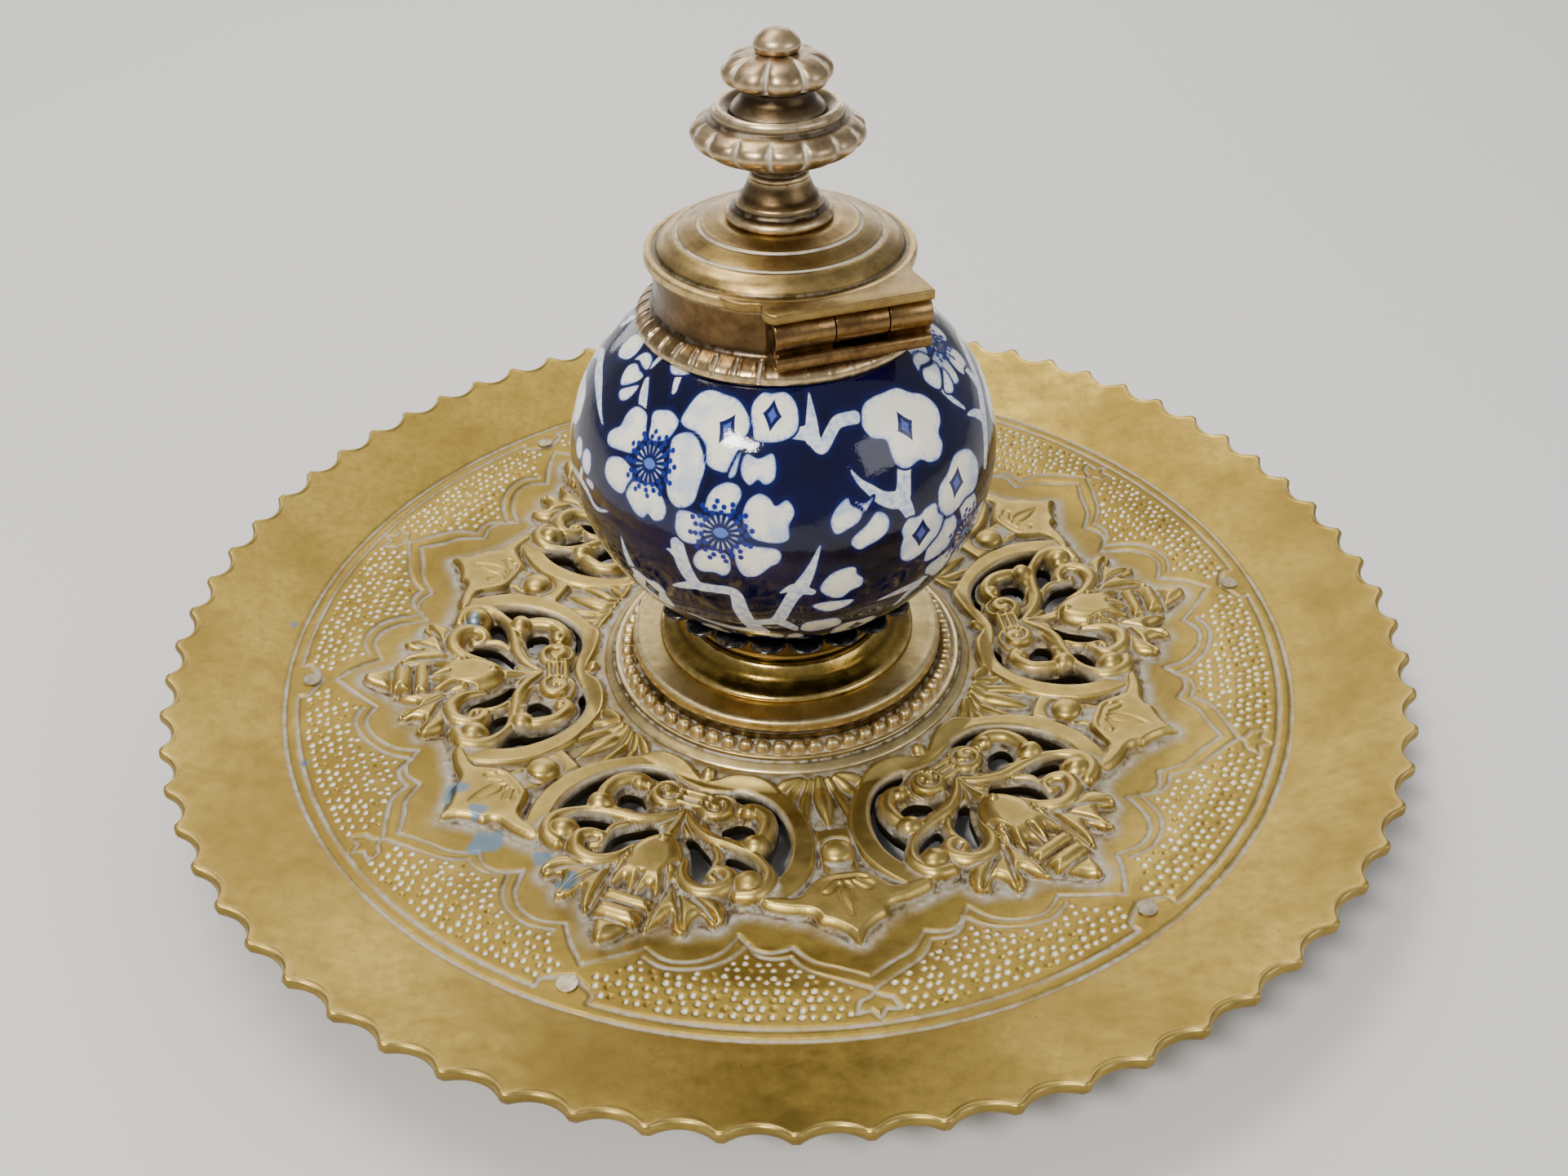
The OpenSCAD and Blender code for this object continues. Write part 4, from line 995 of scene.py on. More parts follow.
def build_calyx(material):
    """Black scalloped ring of lapped petals under the pot."""
    petals, petal_r = 22, 3.4
    inner_r, outer_r = 18, 27.3     # the ring between them is stretched to the petals' edge
    z0, z1 = low("scalloped_calyx")[2], high("scalloped_calyx")[2]
    ring_r = high("scalloped_calyx")[0] - petal_r

    def bend(r, z, a):
        phase = (a * petals / TURN + 0.5) % 1 - 0.5
        off = np.sin(phase * TURN / petals) * ring_r
        reach = np.sqrt(np.clip(petal_r ** 2 - off ** 2, 0, None))
        edge = ring_r * np.cos(phase * TURN / petals) + reach
        share = np.clip((r - inner_r) / (outer_r - inner_r), 0, 1.2)
        lap = np.exp(-((np.abs(phase) - 0.5) / 0.05) ** 2)
        dish_in = np.clip(1 - (2 * phase) ** 2, 0, 1) * 0.45 * np.clip(share - 0.5, 0, 1)
        sink = np.where(z > z0 + 0.7, 0.4 * lap * share + dish_in, 0)
        return inner_r + (edge - inner_r) * share, z - sink, np.zeros(r.shape)
    profile = eased([[16, z0], [26.6, z0], [outer_r, z0 + 0.35], [outer_r, z1 - 0.35], [26.7, z1],
                     [25.4, z1 - 0.05], [inner_r, z1]])
    turned("calyx", profile, material, "base", "black_lacquer", "scalloped_calyx", petals * 24, bend,
           0.8)


# ---------------------------------------------------------------- collar and hinge

HINGE = frame["joints"][0]
HINGE_AT = [c / MM for c in HINGE["pos_m"]]
PIN_R = math.hypot(HINGE_AT[0], HINGE_AT[1])        # how far the pin is from the pot's axis
BARREL_R = 2.9
HINGE_LO, HINGE_HI = -9.4, 17.4             # ends of the hinge leaf along the pin
KNUCKLE_LO, KNUCKLE_HI = 0.65, 9.98         # ends of the gap for the cover's knuckle
COLLAR_TOP = high("collar_mount")[2]
BAND_R, BORE_R = 22.0, 20.1
FLANGE_R, FLANGE_Z = 25.6, 83.5
LEAF_TOP = 88.95
UNDER_Z = POT_NECK_Z + 0.6
LINER_DEPTH = 44                            # below the flange that hangs on the ledge
LEDGE_Z = low("ink_liner")[2] + LINER_DEPTH
LEDGE_R, LEDGE_T = 16.6, 1.2


def from_hinge(x, y, z):
    """Place in mm from the hinge's own: x along the pin, y outwards from the pot, z up."""
    ax, ay, _ = HINGE["axis"]
    return HINGE_AT[0] + ax * x + ay * y, HINGE_AT[1] + ay * x - ax * y, HINGE_AT[2] + z


def raised(outline, lo, hi, along_pin):
    """Closed solid in the hinge's frame, not yet a mesh: an outline [x, y] raised from lo to hi, or
    an outline [y, z] run along the pin from lo to hi."""
    bm = bmesh.new()
    ends = []
    for level in (lo, hi):
        places = [from_hinge(level, a, b) if along_pin else from_hinge(a, b, level) for a, b in outline]
        ends.append([bm.verts.new([c * MM for c in place]) for place in places])
        bm.faces.new(ends[-1])
    for i in range(len(outline)):
        j = (i + 1) % len(outline)
        bm.faces.new([ends[0][i], ends[0][j], ends[1][j], ends[1][i]])
    bmesh.ops.recalc_face_normals(bm, faces=bm.faces)
    return bm


def mesh_of(bm, name):
    mesh = bpy.data.meshes.new(name)
    bm.to_mesh(mesh)
    bm.free()
    return mesh


def prism(name, outline, lo, hi, along_pin, material, body, slot, node, soft=0.3):
    """Piece made of a raised outline, with its edges bevelled."""
    bm = raised(outline, lo, hi, along_pin)
    sharp = [e for e in bm.edges if e.calc_face_angle(0) > 0.5]
    bmesh.ops.bevel(bm, geom=sharp, offset=soft * MM, segments=3, affect="EDGES", profile=0.5,
                    clamp_overlap=True)
    bmesh.ops.triangulate(bm, faces=[f for f in bm.faces if len(f.verts) > 4])
    mesh = mesh_of(bm, name)
    mesh.shade_smooth()
    mesh.set_sharp_from_angle(angle=0.6)
    return declared(name, mesh, material, body, node)


def arc(cy, cz, r, start, end, steps=12):
    """Points [y, z] round a centre, angles in degrees."""
    return [[cy + r * math.cos(math.radians(start + (end - start) * k / steps)),
             cz + r * math.sin(math.radians(start + (end - start) * k / steps))]
            for k in range(steps + 1)]


def carved(obj, cutter):
    """Takes the cutter's space out of the piece."""
    tool = obj.modifiers.new("cut", "BOOLEAN")
    tool.operation, tool.solver, tool.object = "DIFFERENCE", "EXACT", cutter
    bpy.context.view_layer.update()
    done = bpy.data.meshes.new_from_object(obj.evaluated_get(bpy.context.evaluated_depsgraph_get()))
    obj.modifiers.remove(tool)
    obj.data = done
    done.set_sharp_from_angle(angle=0.7)
    bpy.data.objects.remove(cutter)


def pocket_cutter():
    """Room for the cover's knuckle: a round trough, open upwards and outwards."""
    reach = BARREL_R + 0.3
    outline = arc(0, 0, reach, 180, 360, 20) + [[reach + 3, 0], [reach + 3, BARREL_R + 3],
                                                [-reach, BARREL_R + 3]]
    return in_scene("pocket", mesh_of(raised(outline, KNUCKLE_LO, KNUCKLE_HI, True), "pocket"))


def notched(r, z, a):
    """Bends the collar's flange: cuts across its shoulder, which are faint under the hinge leaf."""
    notches, shoulder_r = 40, 22.9
    leaf_middle, leaf_half = 296, 26        # degrees round
    phase = (a * notches / TURN + 0.5) % 1 - 0.5
    number = np.floor(a * notches / TURN + 0.5)
    off = phase * TURN * FLANGE_R / notches + 0.12 * np.sin(number * 2.3) \
        + 0.10 * (z - FLANGE_Z - 2) * np.sin(number * 1.7)
    faint = np.clip((np.abs(np.degrees(a) - leaf_middle) - leaf_half) / 6, 0.12, 1)
    depth = (0.55 + 0.2 * np.sin(number * 3.1)) * faint
    band = np.clip((r - shoulder_r) / 0.7, 0, 1) * np.clip((z - FLANGE_Z - 0.5) / 0.5, 0, 1)
    cut = np.exp(-(off / 0.3) ** 2) * depth * band
    swell = np.exp(-((off - 0.7) / 0.3) ** 2) + np.exp(-((off + 0.7) / 0.3) ** 2)
    wavy = 0.10 * np.sin(3 * a + 1) * np.clip((r - shoulder_r) / 2, 0, 1)
    wide = r - cut * 0.8 + 0.16 * swell * faint * band + wavy
    return np.minimum(wide, FLANGE_R), z - cut * 0.5, cut * 1.3


def build_collar(material):
    z, top = FLANGE_Z, COLLAR_TOP
    place = (material, "base", "collar_bronze", "collar_mount")
    profile = eased([[BORE_R, UNDER_Z], [FLANGE_R - 0.3, z, 0.15], [FLANGE_R, z + 0.6],
                     [FLANGE_R - 0.1, z + 1.5, 0.5], [FLANGE_R - 1, z + 2.5, 0.7],
                     [FLANGE_R - 2.4, z + 3.3, 0.6], [BAND_R + 0.3, z + 4, 0.5],
                     [BAND_R, z + 5.4, 0.5], [BAND_R, top, 0.25], [BORE_R, top, 0.25],
                     [BORE_R, LEDGE_Z, 0.05], [LEDGE_R, LEDGE_Z], [LEDGE_R, LEDGE_Z - LEDGE_T],
                     [BORE_R, LEDGE_Z - LEDGE_T, 0.05], [BORE_R, UNDER_Z, 0.05]])
    # Painted shade on the band's outside, under the lid's overhang
    ring = turned("collar_ring", profile, *place, 640, notched, 0.45,
                  dark=lambda r, h: 0.6 * (h > z + 4.6) * (r > BAND_R - 0.6))
    carved(ring, pocket_cutter())
    leaf_z = LEAF_TOP - HINGE_AT[2]
    leaf_back = [[x, max(math.sqrt((BAND_R - 0.6) ** 2 - x * x) - PIN_R, -6.9)]
                 for x in np.linspace(HINGE_HI, HINGE_LO, 25)]
    prism("hinge_leaf", [[HINGE_LO, BARREL_R], [HINGE_HI, BARREL_R]] + leaf_back, leaf_z - 1.8, leaf_z,
          False, *place, 0.35)
    prism("hinge_leaf_lip", arc(BARREL_R - 0.95, leaf_z - 0.55, 0.95, 0, 360, 18)[:-1], HINGE_LO,
          HINGE_HI, True, *place, 0.2)
    section = arc(0, 0, BARREL_R, -50, 168, 22) + [[-BARREL_R + 0.05, leaf_z - 0.4],
                                                   [1.6, leaf_z - 0.4], [1.55, leaf_z + 0.35]]
    prism("knuckle_left", section, HINGE_LO, KNUCKLE_LO, True, *place, 0.22)
    prism("knuckle_right", section, KNUCKLE_HI, HINGE_HI, True, *place, 0.22)
    # Rolled ends that close the hinge's channel on both sides
    thick = 0.9
    cheek = arc(0, 0, BARREL_R - 0.02, -58, 100, 12) + [[-1.4, 2.6], [-2.6, leaf_z], [2.2, leaf_z]]
    prism("cheek_left", cheek, HINGE_LO, HINGE_LO + thick, True, *place)
    prism("cheek_right", cheek, HINGE_HI - thick, HINGE_HI, True, *place)


# ---------------------------------------------------------------- cover and finial

LID_Z = COLLAR_TOP + 0.15
LID_R, LIP_R = 23.3, 20.4
RIM_TOP = 97.247
LID_TOP = high("lid")[2]
STUD_R = 1.8            # hole for the stud, through the lid and the finial


def build_lid(material, hinge_bronze):
    under = high("lid_washer")[2] + 0.25
    outer_line, inner_line = 17.6, 13.75        # radii of the incised rings
    profile = eased([[STUD_R, under], [13.5, under - 0.7, 1], [LIP_R, LID_Z + 1.6], [LIP_R, LID_Z],
                     [LID_R, LID_Z], [LID_R, RIM_TOP, 0.7], [22, RIM_TOP + 0.05, 0.2],
                     [21.4, RIM_TOP - 0.1, 0.25], [20.9, RIM_TOP + 0.6, 0.3],
                     [20, RIM_TOP + 1.6, 0.7], [18.3, RIM_TOP + 2.5, 0.4], [17.8, RIM_TOP + 2.5, 0.12],
                     [outer_line, RIM_TOP + 2.25, 0.1], [17.4, RIM_TOP + 2.6, 0.12],
                     [14, RIM_TOP + 3.9, 0.3], [inner_line, RIM_TOP + 3.7, 0.1],
                     [13.5, RIM_TOP + 4.15, 0.15], [11.6, LID_TOP - 0.35, 0.8],
                     [10.2, LID_TOP, 0.4], [STUD_R, LID_TOP]])
    turned("lid_turned", profile, material, "cover", "lid_bronze", "lid", 256, fine=0.3,
           lines=(outer_line, inner_line), above=RIM_TOP)
    # The tab grows out of the rim, over the hinge
    left = [[-14.2, -4], [-12.8, -2.9], [-11.6, -2.5], [-10.7, -2.1], [-10.3, -1.4], [-10.6, -0.5],
            [-11, 0.4], [-10.8, 1.6], [-10.2, 2.5], [-9.3, 3.1]]
    right = [[HINGE_HI, 3.1], [HINGE_HI, 0.4], [17.1, -2.6], [16.9, -5], [17.2, -6.6], [17.8, -7.9]]
    on_rim = [(x, 21.2) for x in np.linspace(HINGE_HI, -15.6, 24)] + [(-16.2, LID_R - 0.2)]
    inner = [[x, math.sqrt(r * r - x * x) - PIN_R] for x, r in on_rim]
    prism("lid_tab", inner[-1:] + left + right + inner[:-1], LID_Z - HINGE_AT[2],
          RIM_TOP - HINGE_AT[2], False, material, "cover", "lid_bronze", "lid")
    section = arc(0, 0, BARREL_R, -190, 78, 24) + [[0.6, BARREL_R + 0.3], [-2.6, BARREL_R + 0.3]]
    prism("knuckle_middle", section, KNUCKLE_LO + 0.15, KNUCKLE_HI - 0.15, True, hinge_bronze, "cover",
          "lid_bronze", "lid", 0.25)


def lobed(count, depth, z0, z1, soft, sharp, turn=0.0):
    """Bend that divides a turned form into lobes between two heights. soft is the height over which
    they start and end, and a greater sharp makes them fuller."""
    def bend(r, z, a):
        phase = (a * count / TURN + turn) % 1 - 0.5
        mask = np.clip((z - z0) / soft, 0, 1) * np.clip((z1 - z) / soft, 0, 1)
        cut = depth * np.abs(2 * phase) ** sharp * mask
        flute = np.exp(-((np.abs(phase) - 0.5) * TURN * r / count / 0.42) ** 2) * mask
        return r - cut - 0.22 * flute, z, flute
    return bend


def build_finial(material, base_bronze):
    def finial(node, profile, metal_of_it, sides, bend=None, fine=0.3, dark=None):
        turned(node + "_turned", profile, metal_of_it, "cover", "finial_bronze", node, sides, bend, fine,
               dark=dark)
    z, r, top = low("finial_base")[2], high("finial_base")[0], high("finial_base")[2]
    profile = eased([[STUD_R, z], [r - 0.4, z], [r, z + 0.7, 0.5], [r - 0.5, z + 1.5, 0.4],
                     [r * 0.84, z + 1.9], [r * 0.8, z + 2.5], [r * 0.79, z + 3.2],
                     [r * 0.68, z + 3.9, 0.6], [r * 0.6, z + 5.3, 0.8], [r * 0.55, top - 0.4],
                     [r * 0.54, top], [STUD_R, top]])
    finial("finial_base", profile, base_bronze, 128)
    z, cup = low("finial_bulb")[2], 10.8
    profile = eased([[STUD_R, z], [5, z, 0.2], [5.05, z + 0.5], [4.5, z + 1],
                     [4.9, z + 1.9, 0.5], [8.6, z + 3.4, 1], [12.3, z + 4.9, 1.2],
                     [14.1, z + 6.3, 0.8], [14.5, z + 7.3, 0.7], [14, z + 8.5, 0.8],
                     [12.6, z + 9.4, 0.6], [11.4, z + 9.75], [11.1, z + 10, 0.15],
                     [cup, z + 10.2, 0.2], [cup, z + 11.3, 0.5], [cup - 0.8, z + 12, 0.5],
                     [cup - 1.7, z + 11.7, 0.4], [cup - 2.9, z + 10.9, 0.6], [5.6, z + 10.7, 0.4],
                     [4.9, z + 10.95, 0.2], [STUD_R, z + 11]])
    # Painted shade inside the bulb's cup, under the cap
    finial("finial_bulb", profile, material, 480, lobed(15, 0.75, z + 4.2, z + 9.7, 0.9, 3),
           dark=lambda r, h: 0.75 * (h > z + 8.8) * (r < cup - 1.5))
    z, top = low("finial_cap")[2], high("finial_cap")[2]
    profile = eased([[STUD_R, z], [8, z + 0.1, 0.2], [7.2, z + 1, 0.4], [6.1, z + 2, 0.5],
                     [5.6, z + 3.2, 0.4], [6, z + 3.9], [8.2, z + 4.3, 0.5],
                     [9, z + 5.3, 0.6], [9, z + 6.5, 0.9], [8, z + 7.8, 1.1],
                     [6, z + 8.7, 1], [3.9, top, 0.2], [STUD_R, top]])
    # Painted shade on the cap's underside and neck, down in the bulb's cup
    finial("finial_cap", profile, material, 320, lobed(8, 1.2, z + 3.8, top + 0.3, 0.8, 3.2, 0.31),
           dark=lambda r, h: 0.8 * (h < z + 4))
    z, r, top = low("finial_button")[2], high("finial_button")[0], high("finial_button")[2]
    profile = eased([[STUD_R, z], [r * 0.86, z], [r, z + 1, 0.5], [r * 0.9, z + 2.1, 0.7],
                     [r * 0.55, z + 3.2, 0.7], [r * 0.3, top - 0.1, 0.4], [0.02, top]])
    finial("finial_button", profile, material, 96, fine=0.25)


# ---------------------------------------------------------------- materials

class Shader:
    """Small helper that builds a node material."""

    def __init__(self, name):
        self.material = bpy.data.materials.new(name)
        self.material.use_nodes = True
        self.tree = self.material.node_tree
        self.tree.nodes.clear()
        self.out = self.tree.nodes.new("ShaderNodeOutputMaterial")
        self.base = self.tree.nodes.new("ShaderNodeBsdfPrincipled")
        self.tree.links.new(self.base.outputs[0], self.out.inputs[0])
        where = self.tree.nodes.new("ShaderNodeTexCoord").outputs["Object"]
        self.mm = self.add("VectorMath", {0: where, "Scale": 1 / MM}, operation="SCALE").outputs[0]

    def fill(self, node, values):
        """Gives a node's inputs a link each, or a plain value."""
        for key, value in values.items():
            if isinstance(value, bpy.types.NodeSocket):
                self.tree.links.new(value, node.inputs[key])
            else:
                node.inputs[key].default_value = value

    def add(self, kind, inputs=None, **settings):
        node = self.tree.nodes.new("ShaderNode" + kind)
        for key, value in settings.items():
            setattr(node, key, value)
        self.fill(node, inputs or {})
        return node

    def set(self, **inputs):
        """Fills inputs of the surface shader."""
        self.fill(self.base, {key.replace("_", " "): value for key, value in inputs.items()})

    def calc(self, operation, a, b=0.0, clamp=False):
        return self.add("Math", {0: a, 1: b}, operation=operation, use_clamp=clamp).outputs[0]

    def times(self, a, b, clamp=False):
        return self.calc("MULTIPLY", a, b, clamp)

    def plus(self, a, b):
        return self.calc("ADD", a, b)

    def length(self, a, b):
        return self.calc("SQRT", self.plus(self.times(a, a), self.times(b, b)))

    def same(self, value, wanted):
        """1 where a mark is the wanted one."""
        return self.add("Math", {0: value, 1: wanted, 2: 0.2}, operation="COMPARE").outputs[0]

    def noise(self, scale, detail=4, rough=0.55):
        node = self.add("TexNoise", {"Vector": self.mm, "Scale": scale, "Detail": detail,
                                     "Roughness": rough})
        return node.outputs["Fac"]

    def cells(self, scale):
        """Distance to the nearest of many scattered points."""
        return self.add("TexVoronoi", {"Vector": self.mm, "Scale": scale}).outputs["Distance"]

    def range(self, value, a, b, c=0.0, d=1.0):
        node = self.add("MapRange", {"Value": value, "From Min": a, "From Max": b, "To Min": c,
                                     "To Max": d}, clamp=True)
        return node.outputs["Result"]

    def mix(self, amount, a, b):
        node = self.add("Mix", {0: amount, 6: a, 7: b}, data_type="RGBA", clamp_factor=True)
        return node.outputs[2]

    def mark(self, name, output="Fac"):
        return self.add("Attribute", attribute_name=name).outputs[output]

    def bump(self, height, strength, distance=0.0002):
        return self.add("Bump", {"Height": height, "Strength": strength, "Distance": distance}).outputs[0]


def rgb(r, g, b):
    return (r, g, b, 1.0)


def dish_brass():
    s = Shader("dish_brass")
    blotch = s.noise(0.035, 5, 0.6)
    speck = s.noise(0.55, 4, 0.7)
    colour = s.mix(s.range(blotch, 0.38, 0.62), rgb(0.30, 0.200, 0.038), rgb(0.47, 0.328, 0.072))
    colour = s.mix(s.range(speck, 0.42, 0.7, 0, 0.55), colour, rgb(0.26, 0.17, 0.04))
    # The chased part is browner than the plain border
    away = s.add("VectorMath", {0: s.mm, 1: (1, 1, 0)}, operation="MULTIPLY").outputs[0]
    away = s.add("VectorMath", {0: away}, operation="LENGTH").outputs["Value"]
    colour = s.mix(s.range(away, 90, 76, 0, 0.42), colour, rgb(0.20, 0.138, 0.034))
    pits = s.cells(0.16)
    colour = s.mix(s.range(pits, 0.035, 0.012, 0, 0.85), colour, rgb(0.11, 0.07, 0.03))
    wear = s.times(s.mark("wear"), s.range(s.noise(0.4, 3), 0.3, 0.6, 0.55, 1))
    colour = s.mix(s.times(wear, 0.6), colour, rgb(0.68, 0.50, 0.17))
    deep = s.mark("residue")
    residue = s.times(s.range(deep, 0.06, 0.45), s.range(s.noise(0.7, 3), 0.3, 0.6, 0.35, 1), True)
    residue = s.times(residue, s.range(s.noise(0.10, 3), 0.38, 0.55, 0.35, 1))
    colour = s.mix(s.times(residue, 0.8), colour, rgb(0.47, 0.45, 0.41))
    dark = s.times(s.range(deep, 0.7, 1.0), s.range(s.noise(0.5, 3), 0.45, 0.6, 0.15, 0.9))
    colour = s.mix(dark, colour, rgb(0.085, 0.055, 0.028))
    punch = s.mark("punch")
    colour = s.mix(s.range(punch, 0.2, 1, 0, 0.92), colour, rgb(0.84, 0.81, 0.68))
    colour = s.mix(s.times(s.mark("stain"), 0.85, True), colour, rgb(0.13, 0.22, 0.30))
    # Painted shade from the depth mark: near black on the piercings' walls and the chased part's underside, weaker
    # on the rim's edge and underside
    colour = s.mix(s.times(s.mark("depth"), 0.95), colour, rgb(0.030, 0.020, 0.012))
    rough = s.range(s.noise(0.22, 4), 0.3, 0.7, 0.37, 0.53)
    rough = s.calc("SUBTRACT", rough, s.times(wear, 0.07))
    rough = s.plus(rough, s.times(residue, 0.2))
    metal = s.calc("SUBTRACT", 1.0, s.times(residue, 0.7), True)
    metal = s.times(metal, s.range(punch, 0, 1, 1, 0.35))
    grain = s.plus(s.times(s.noise(2.2, 3), 0.5), s.noise(0.4, 2))
    s.set(Base_Color=colour, Metallic=metal, Roughness=rough, Normal=s.bump(grain, 0.35, 0.00012))
    return s.material


def metal(name, dark, light, bright, rough=(0.28, 0.44), chalky=0.85):
    """Aged brass or bronze. Hollows hold pale residue with a dark edge, and edges are worn bright."""
    s = Shader(name)
    tone = s.plus(s.times(s.noise(0.09, 5, 0.65), 0.7), s.times(s.noise(0.7, 4, 0.7), 0.3))
    colour = s.mix(s.range(tone, 0.40, 0.60), rgb(*dark), rgb(*light))
    colour = s.mix(s.range(s.cells(0.45), 0.10, 0.03, 0, 0.7), colour, rgb(*[c * 0.35 for c in dark]))
    wear = s.times(s.mark("wear"), s.range(s.noise(0.5, 3), 0.35, 0.6, 0.35, 1))
    colour = s.mix(wear, colour, rgb(*bright))
    deep = s.mark("residue")
    colour = s.mix(s.times(s.range(deep, 0.05, 0.5), 0.8), colour, rgb(*[c * 0.30 for c in dark]))
    pale = s.times(s.range(deep, 0.45, 0.85), s.range(s.noise(0.6, 3), 0.40, 0.58))
    pale = s.times(pale, chalky)
    colour = s.mix(pale, colour, rgb(0.50, 0.45, 0.37))
    chalk = s.times(s.mark("chalk"), s.range(s.noise(0.35, 3), 0.3, 0.5, 0.45, 1))
    colour = s.mix(s.times(chalk, 0.9), colour, rgb(0.80, 0.74, 0.62))
    # Painted shade where the piece lies under another part, such as the lid or the finial's cap
    colour = s.mix(s.times(s.mark("painted_shade"), 0.85), colour, rgb(0.045, 0.028, 0.015))
    pale = s.calc("MAXIMUM", pale, chalk)
    roughness = s.plus(s.range(s.noise(0.3, 4), 0.3, 0.7, *rough), s.times(pale, 0.3))
    grain = s.plus(s.times(s.noise(2.4, 3), 0.4), s.noise(0.5, 2))
    s.set(Base_Color=colour, Roughness=roughness, Normal=s.bump(grain, 0.3, 0.00012),
          Metallic=s.calc("SUBTRACT", 1.0, s.times(pale, 0.7), True))
    return s.material


def black_lacquer():
    s = Shader("black_lacquer")
    worn = s.times(s.mark("wear"), s.range(s.noise(0.8, 4), 0.5, 0.62))
    s.set(Base_Color=s.mix(worn, rgb(0.006, 0.006, 0.009), rgb(0.10, 0.07, 0.04)),
          Roughness=s.range(s.noise(0.4, 3), 0.3, 0.7, 0.16, 0.3),
          Normal=s.bump(s.noise(0.8, 3), 0.25, 0.0002))
    return s.material


def plain_material(name, first, second, scale, rough, metallic, bump=0.2):
    """Mottled finish for the parts inside."""
    s = Shader(name)
    s.set(Base_Color=s.mix(s.range(s.noise(scale, 4, 0.65), 0.38, 0.62), rgb(*first), rgb(*second)),
          Roughness=s.range(s.noise(scale * 3, 3), 0.3, 0.7, *rough), Metallic=metallic,
          Normal=s.bump(s.noise(scale * 6, 3), bump, 0.0002))
    return s.material


def liner_glass():
    s = Shader("liner_glass")
    stain = s.range(s.noise(0.12, 4), 0.5, 0.72, 0, 0.35)
    s.set(Base_Color=s.mix(stain, rgb(0.86, 0.92, 0.92), rgb(0.35, 0.42, 0.55)),
          Roughness=s.range(s.noise(0.5, 3), 0.3, 0.7, 0.03, 0.12),
          Normal=s.bump(s.noise(0.25, 2), 0.25, 0.0003), Transmission_Weight=0.85, IOR=1.48)
    return s.material


def dress(material, *nodes):
    """Gives a better material to CAD nodes that stay."""
    for node in nodes:
        for slot in frame["nodes"][node].material_slots:
            slot.material = material


# ---------------------------------------------------------------- camera, light and floor

def lamp(name, where, size, power, colour):
    """Rectangular lamp that points at the middle of the table's top and isn't seen itself."""
    data = bpy.data.lights.new(name, "AREA")
    data.shape, data.size, data.size_y = "RECTANGLE", size[0], size[1]
    data.energy, data.color = power, colour
    obj = in_scene(name, data)
    obj.rotation_euler = (-Vector(where).normalized()).to_track_quat("-Z", "Y").to_euler()
    obj.location = where
    obj.visible_camera = False


def build_stage():
    """Camera fitted to the photograph, lamps, and a plain floor."""
    elevation, roll = math.radians(37.12), math.radians(-1.0)
    place = np.array([-0.362, -233.964, 200.701]) * MM
    back = np.array([0, -math.cos(elevation), math.sin(elevation)])
    level_up = np.array([0, math.sin(elevation), math.cos(elevation)])
    level_right = np.array([1.0, 0, 0])
    right = math.cos(roll) * level_right + math.sin(roll) * level_up
    up = math.cos(roll) * level_up - math.sin(roll) * level_right
    data = bpy.data.cameras.new("camera")
    data.sensor_width = 36
    data.lens = 33.715
    data.clip_start = 0.01
    data.clip_end = 20
    camera = in_scene("camera", data)
    camera.matrix_world = Matrix([[right[k], up[k], back[k], place[k]] for k in range(3)]
                                 + [[0, 0, 0, 1]])
    bpy.context.scene.camera = camera

    lamp("key", (-0.45, -0.75, 1.0), (0.3, 0.16), 13.5, (1, 0.97, 0.92))
    lamp("top", (-0.30, 0.30, 1.1), (0.7, 0.35), 7.2, (1, 0.97, 0.92))
    lamp("fill", (0.9, -0.5, 0.6), (0.6, 0.4), 2.6, (0.95, 0.97, 1))
    lamp("back", (0.05, 1.1, 0.75), (0.7, 0.3), 2.4, (1, 0.98, 0.95))
    lamp("horizon", (-0.1, 1.4, 0.28), (1.8, 0.35), 6.5, (1, 0.98, 0.95))

    world = bpy.data.worlds.new("studio")
    bpy.context.scene.world = world
    world.use_nodes = True
    sky = world.node_tree.nodes["Background"].inputs
    sky["Color"].default_value = (0.62, 0.63, 0.65, 1)
    sky["Strength"].default_value = 0.62

    half = 3
    mesh = bpy.data.meshes.new("floor")
    mesh.from_pydata([(-half, -half, 0), (half, -half, 0), (half, half, 0), (-half, half, 0)], [],
                     [(0, 1, 2, 3)])
    s = Shader("floor")
    s.set(Base_Color=rgb(0.74, 0.73, 0.71), Roughness=0.75)
    mesh.materials.append(s.material)
    in_scene("floor", mesh)


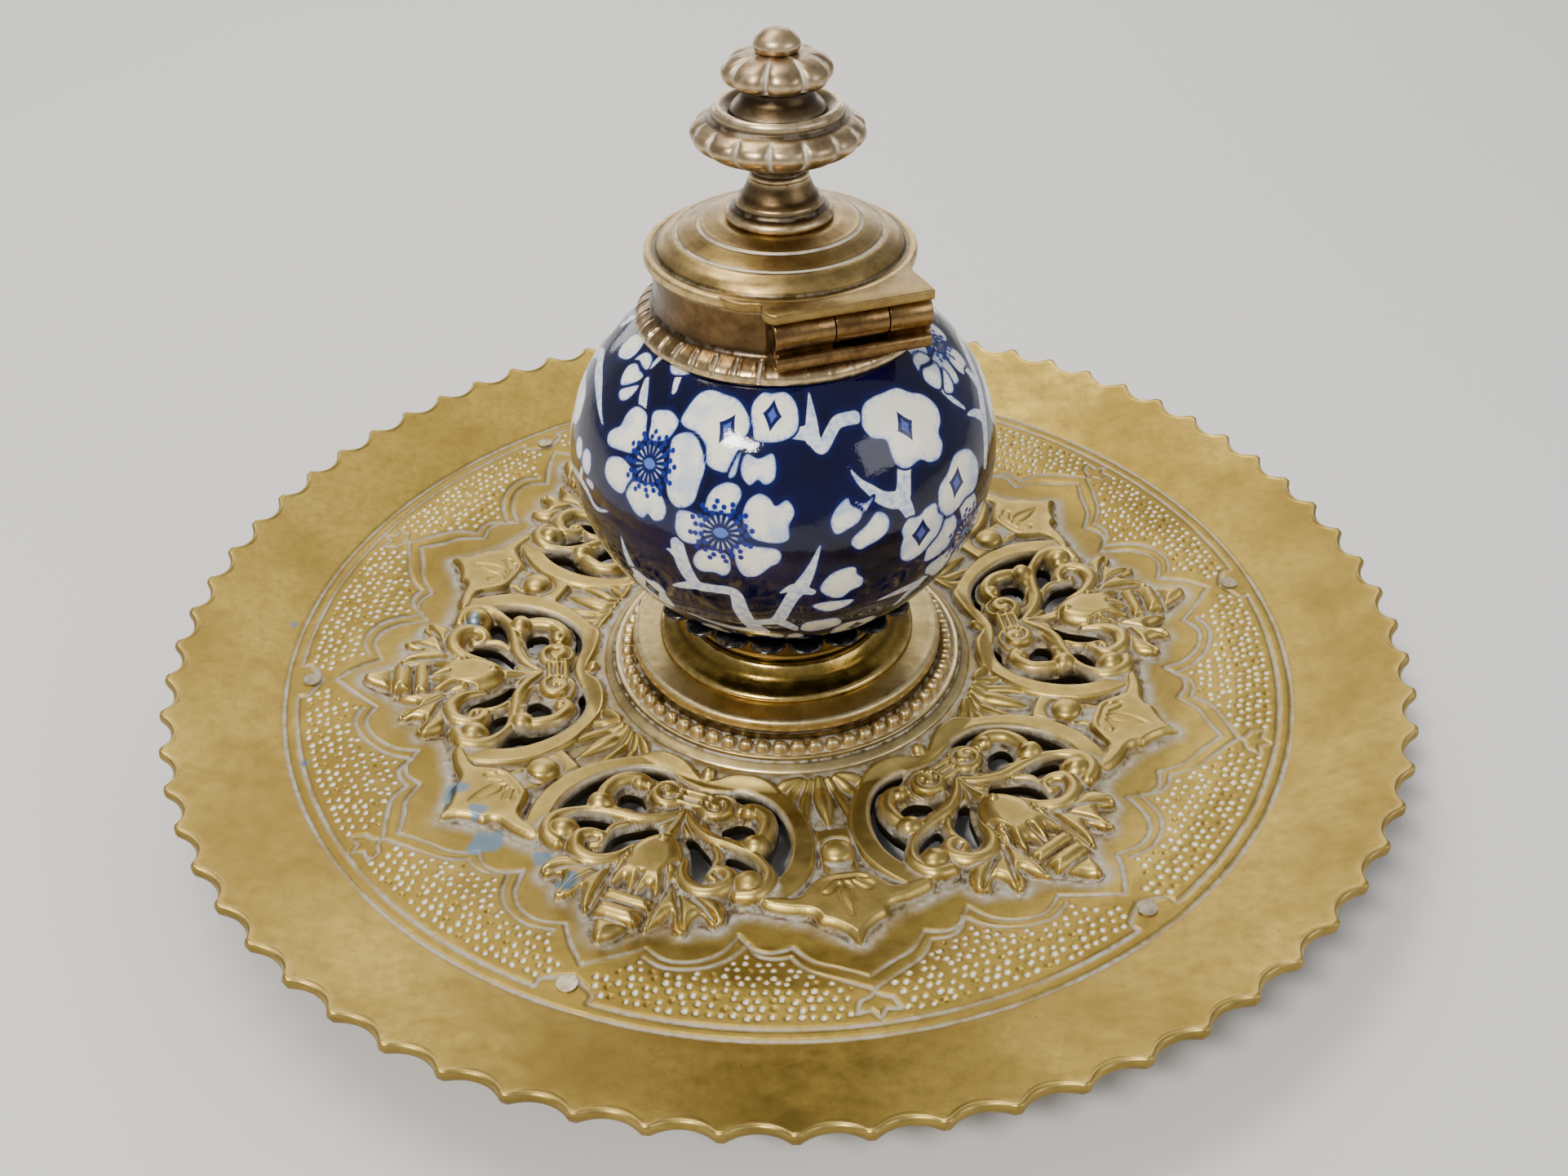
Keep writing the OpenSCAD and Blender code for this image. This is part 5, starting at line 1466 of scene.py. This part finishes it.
build_stage()
build_dish(dish_brass())
build_pot(pot_glaze())
turned_brass = metal("plinth_brass", (0.33, 0.24, 0.095), (0.56, 0.43, 0.19), (0.78, 0.62, 0.33))
stem_brass = metal("stem_brass", (0.16, 0.095, 0.017), (0.36, 0.235, 0.052), (0.74, 0.54, 0.20),
                   rough=(0.14, 0.26))
build_plinth(turned_brass)
build_stem(stem_brass, turned_brass)
build_calyx(black_lacquer())
collar_bronze = metal("collar_bronze", (0.12, 0.060, 0.021), (0.31, 0.190, 0.072), (0.78, 0.60, 0.34),
                      rough=(0.20, 0.36), chalky=0.25)
lid_bronze = metal("lid_bronze", (0.21, 0.132, 0.044), (0.39, 0.265, 0.088), (0.70, 0.52, 0.23),
                   chalky=0.2)
finial_bronze = metal("finial_bronze", (0.19, 0.118, 0.055), (0.41, 0.295, 0.16), (0.74, 0.58, 0.36),
                      chalky=0.2)
build_collar(collar_bronze)
build_lid(lid_bronze, collar_bronze)
build_finial(finial_bronze, metal("finial_base_bronze", (0.12, 0.075, 0.032), (0.30, 0.205, 0.10),
                                  (0.66, 0.50, 0.28), chalky=0.2))
dress(collar_bronze, "hinge_pin")
dress(metal("foot_brass", (0.30, 0.21, 0.08), (0.52, 0.38, 0.17), (0.8, 0.62, 0.33)), "bun_feet")
dress(plain_material("rivet_brass", (0.34, 0.28, 0.18), (0.55, 0.48, 0.34), 0.6, (0.3, 0.5), 0.8),
      "foot_rivets")
dress(plain_material("hardware_brass", (0.34, 0.24, 0.10), (0.56, 0.42, 0.19), 0.3, (0.3, 0.5), 1.0),
      "lid_washer", "lid_nut", "clamp_washer", "base_washer", "base_nut")
dress(plain_material("steel", (0.20, 0.18, 0.16), (0.42, 0.41, 0.40), 0.4, (0.35, 0.6), 1.0),
      "tie_bolt", "finial_stud")
dress(plain_material("leather", (0.10, 0.05, 0.025), (0.22, 0.12, 0.06), 0.8, (0.6, 0.85), 0, 0.6),
      "pot_washer")
dress(plain_material("plaster", (0.62, 0.59, 0.52), (0.78, 0.75, 0.68), 0.5, (0.8, 0.95), 0, 0.5),
      "pot_bedding")
dress(liner_glass(), "ink_liner")
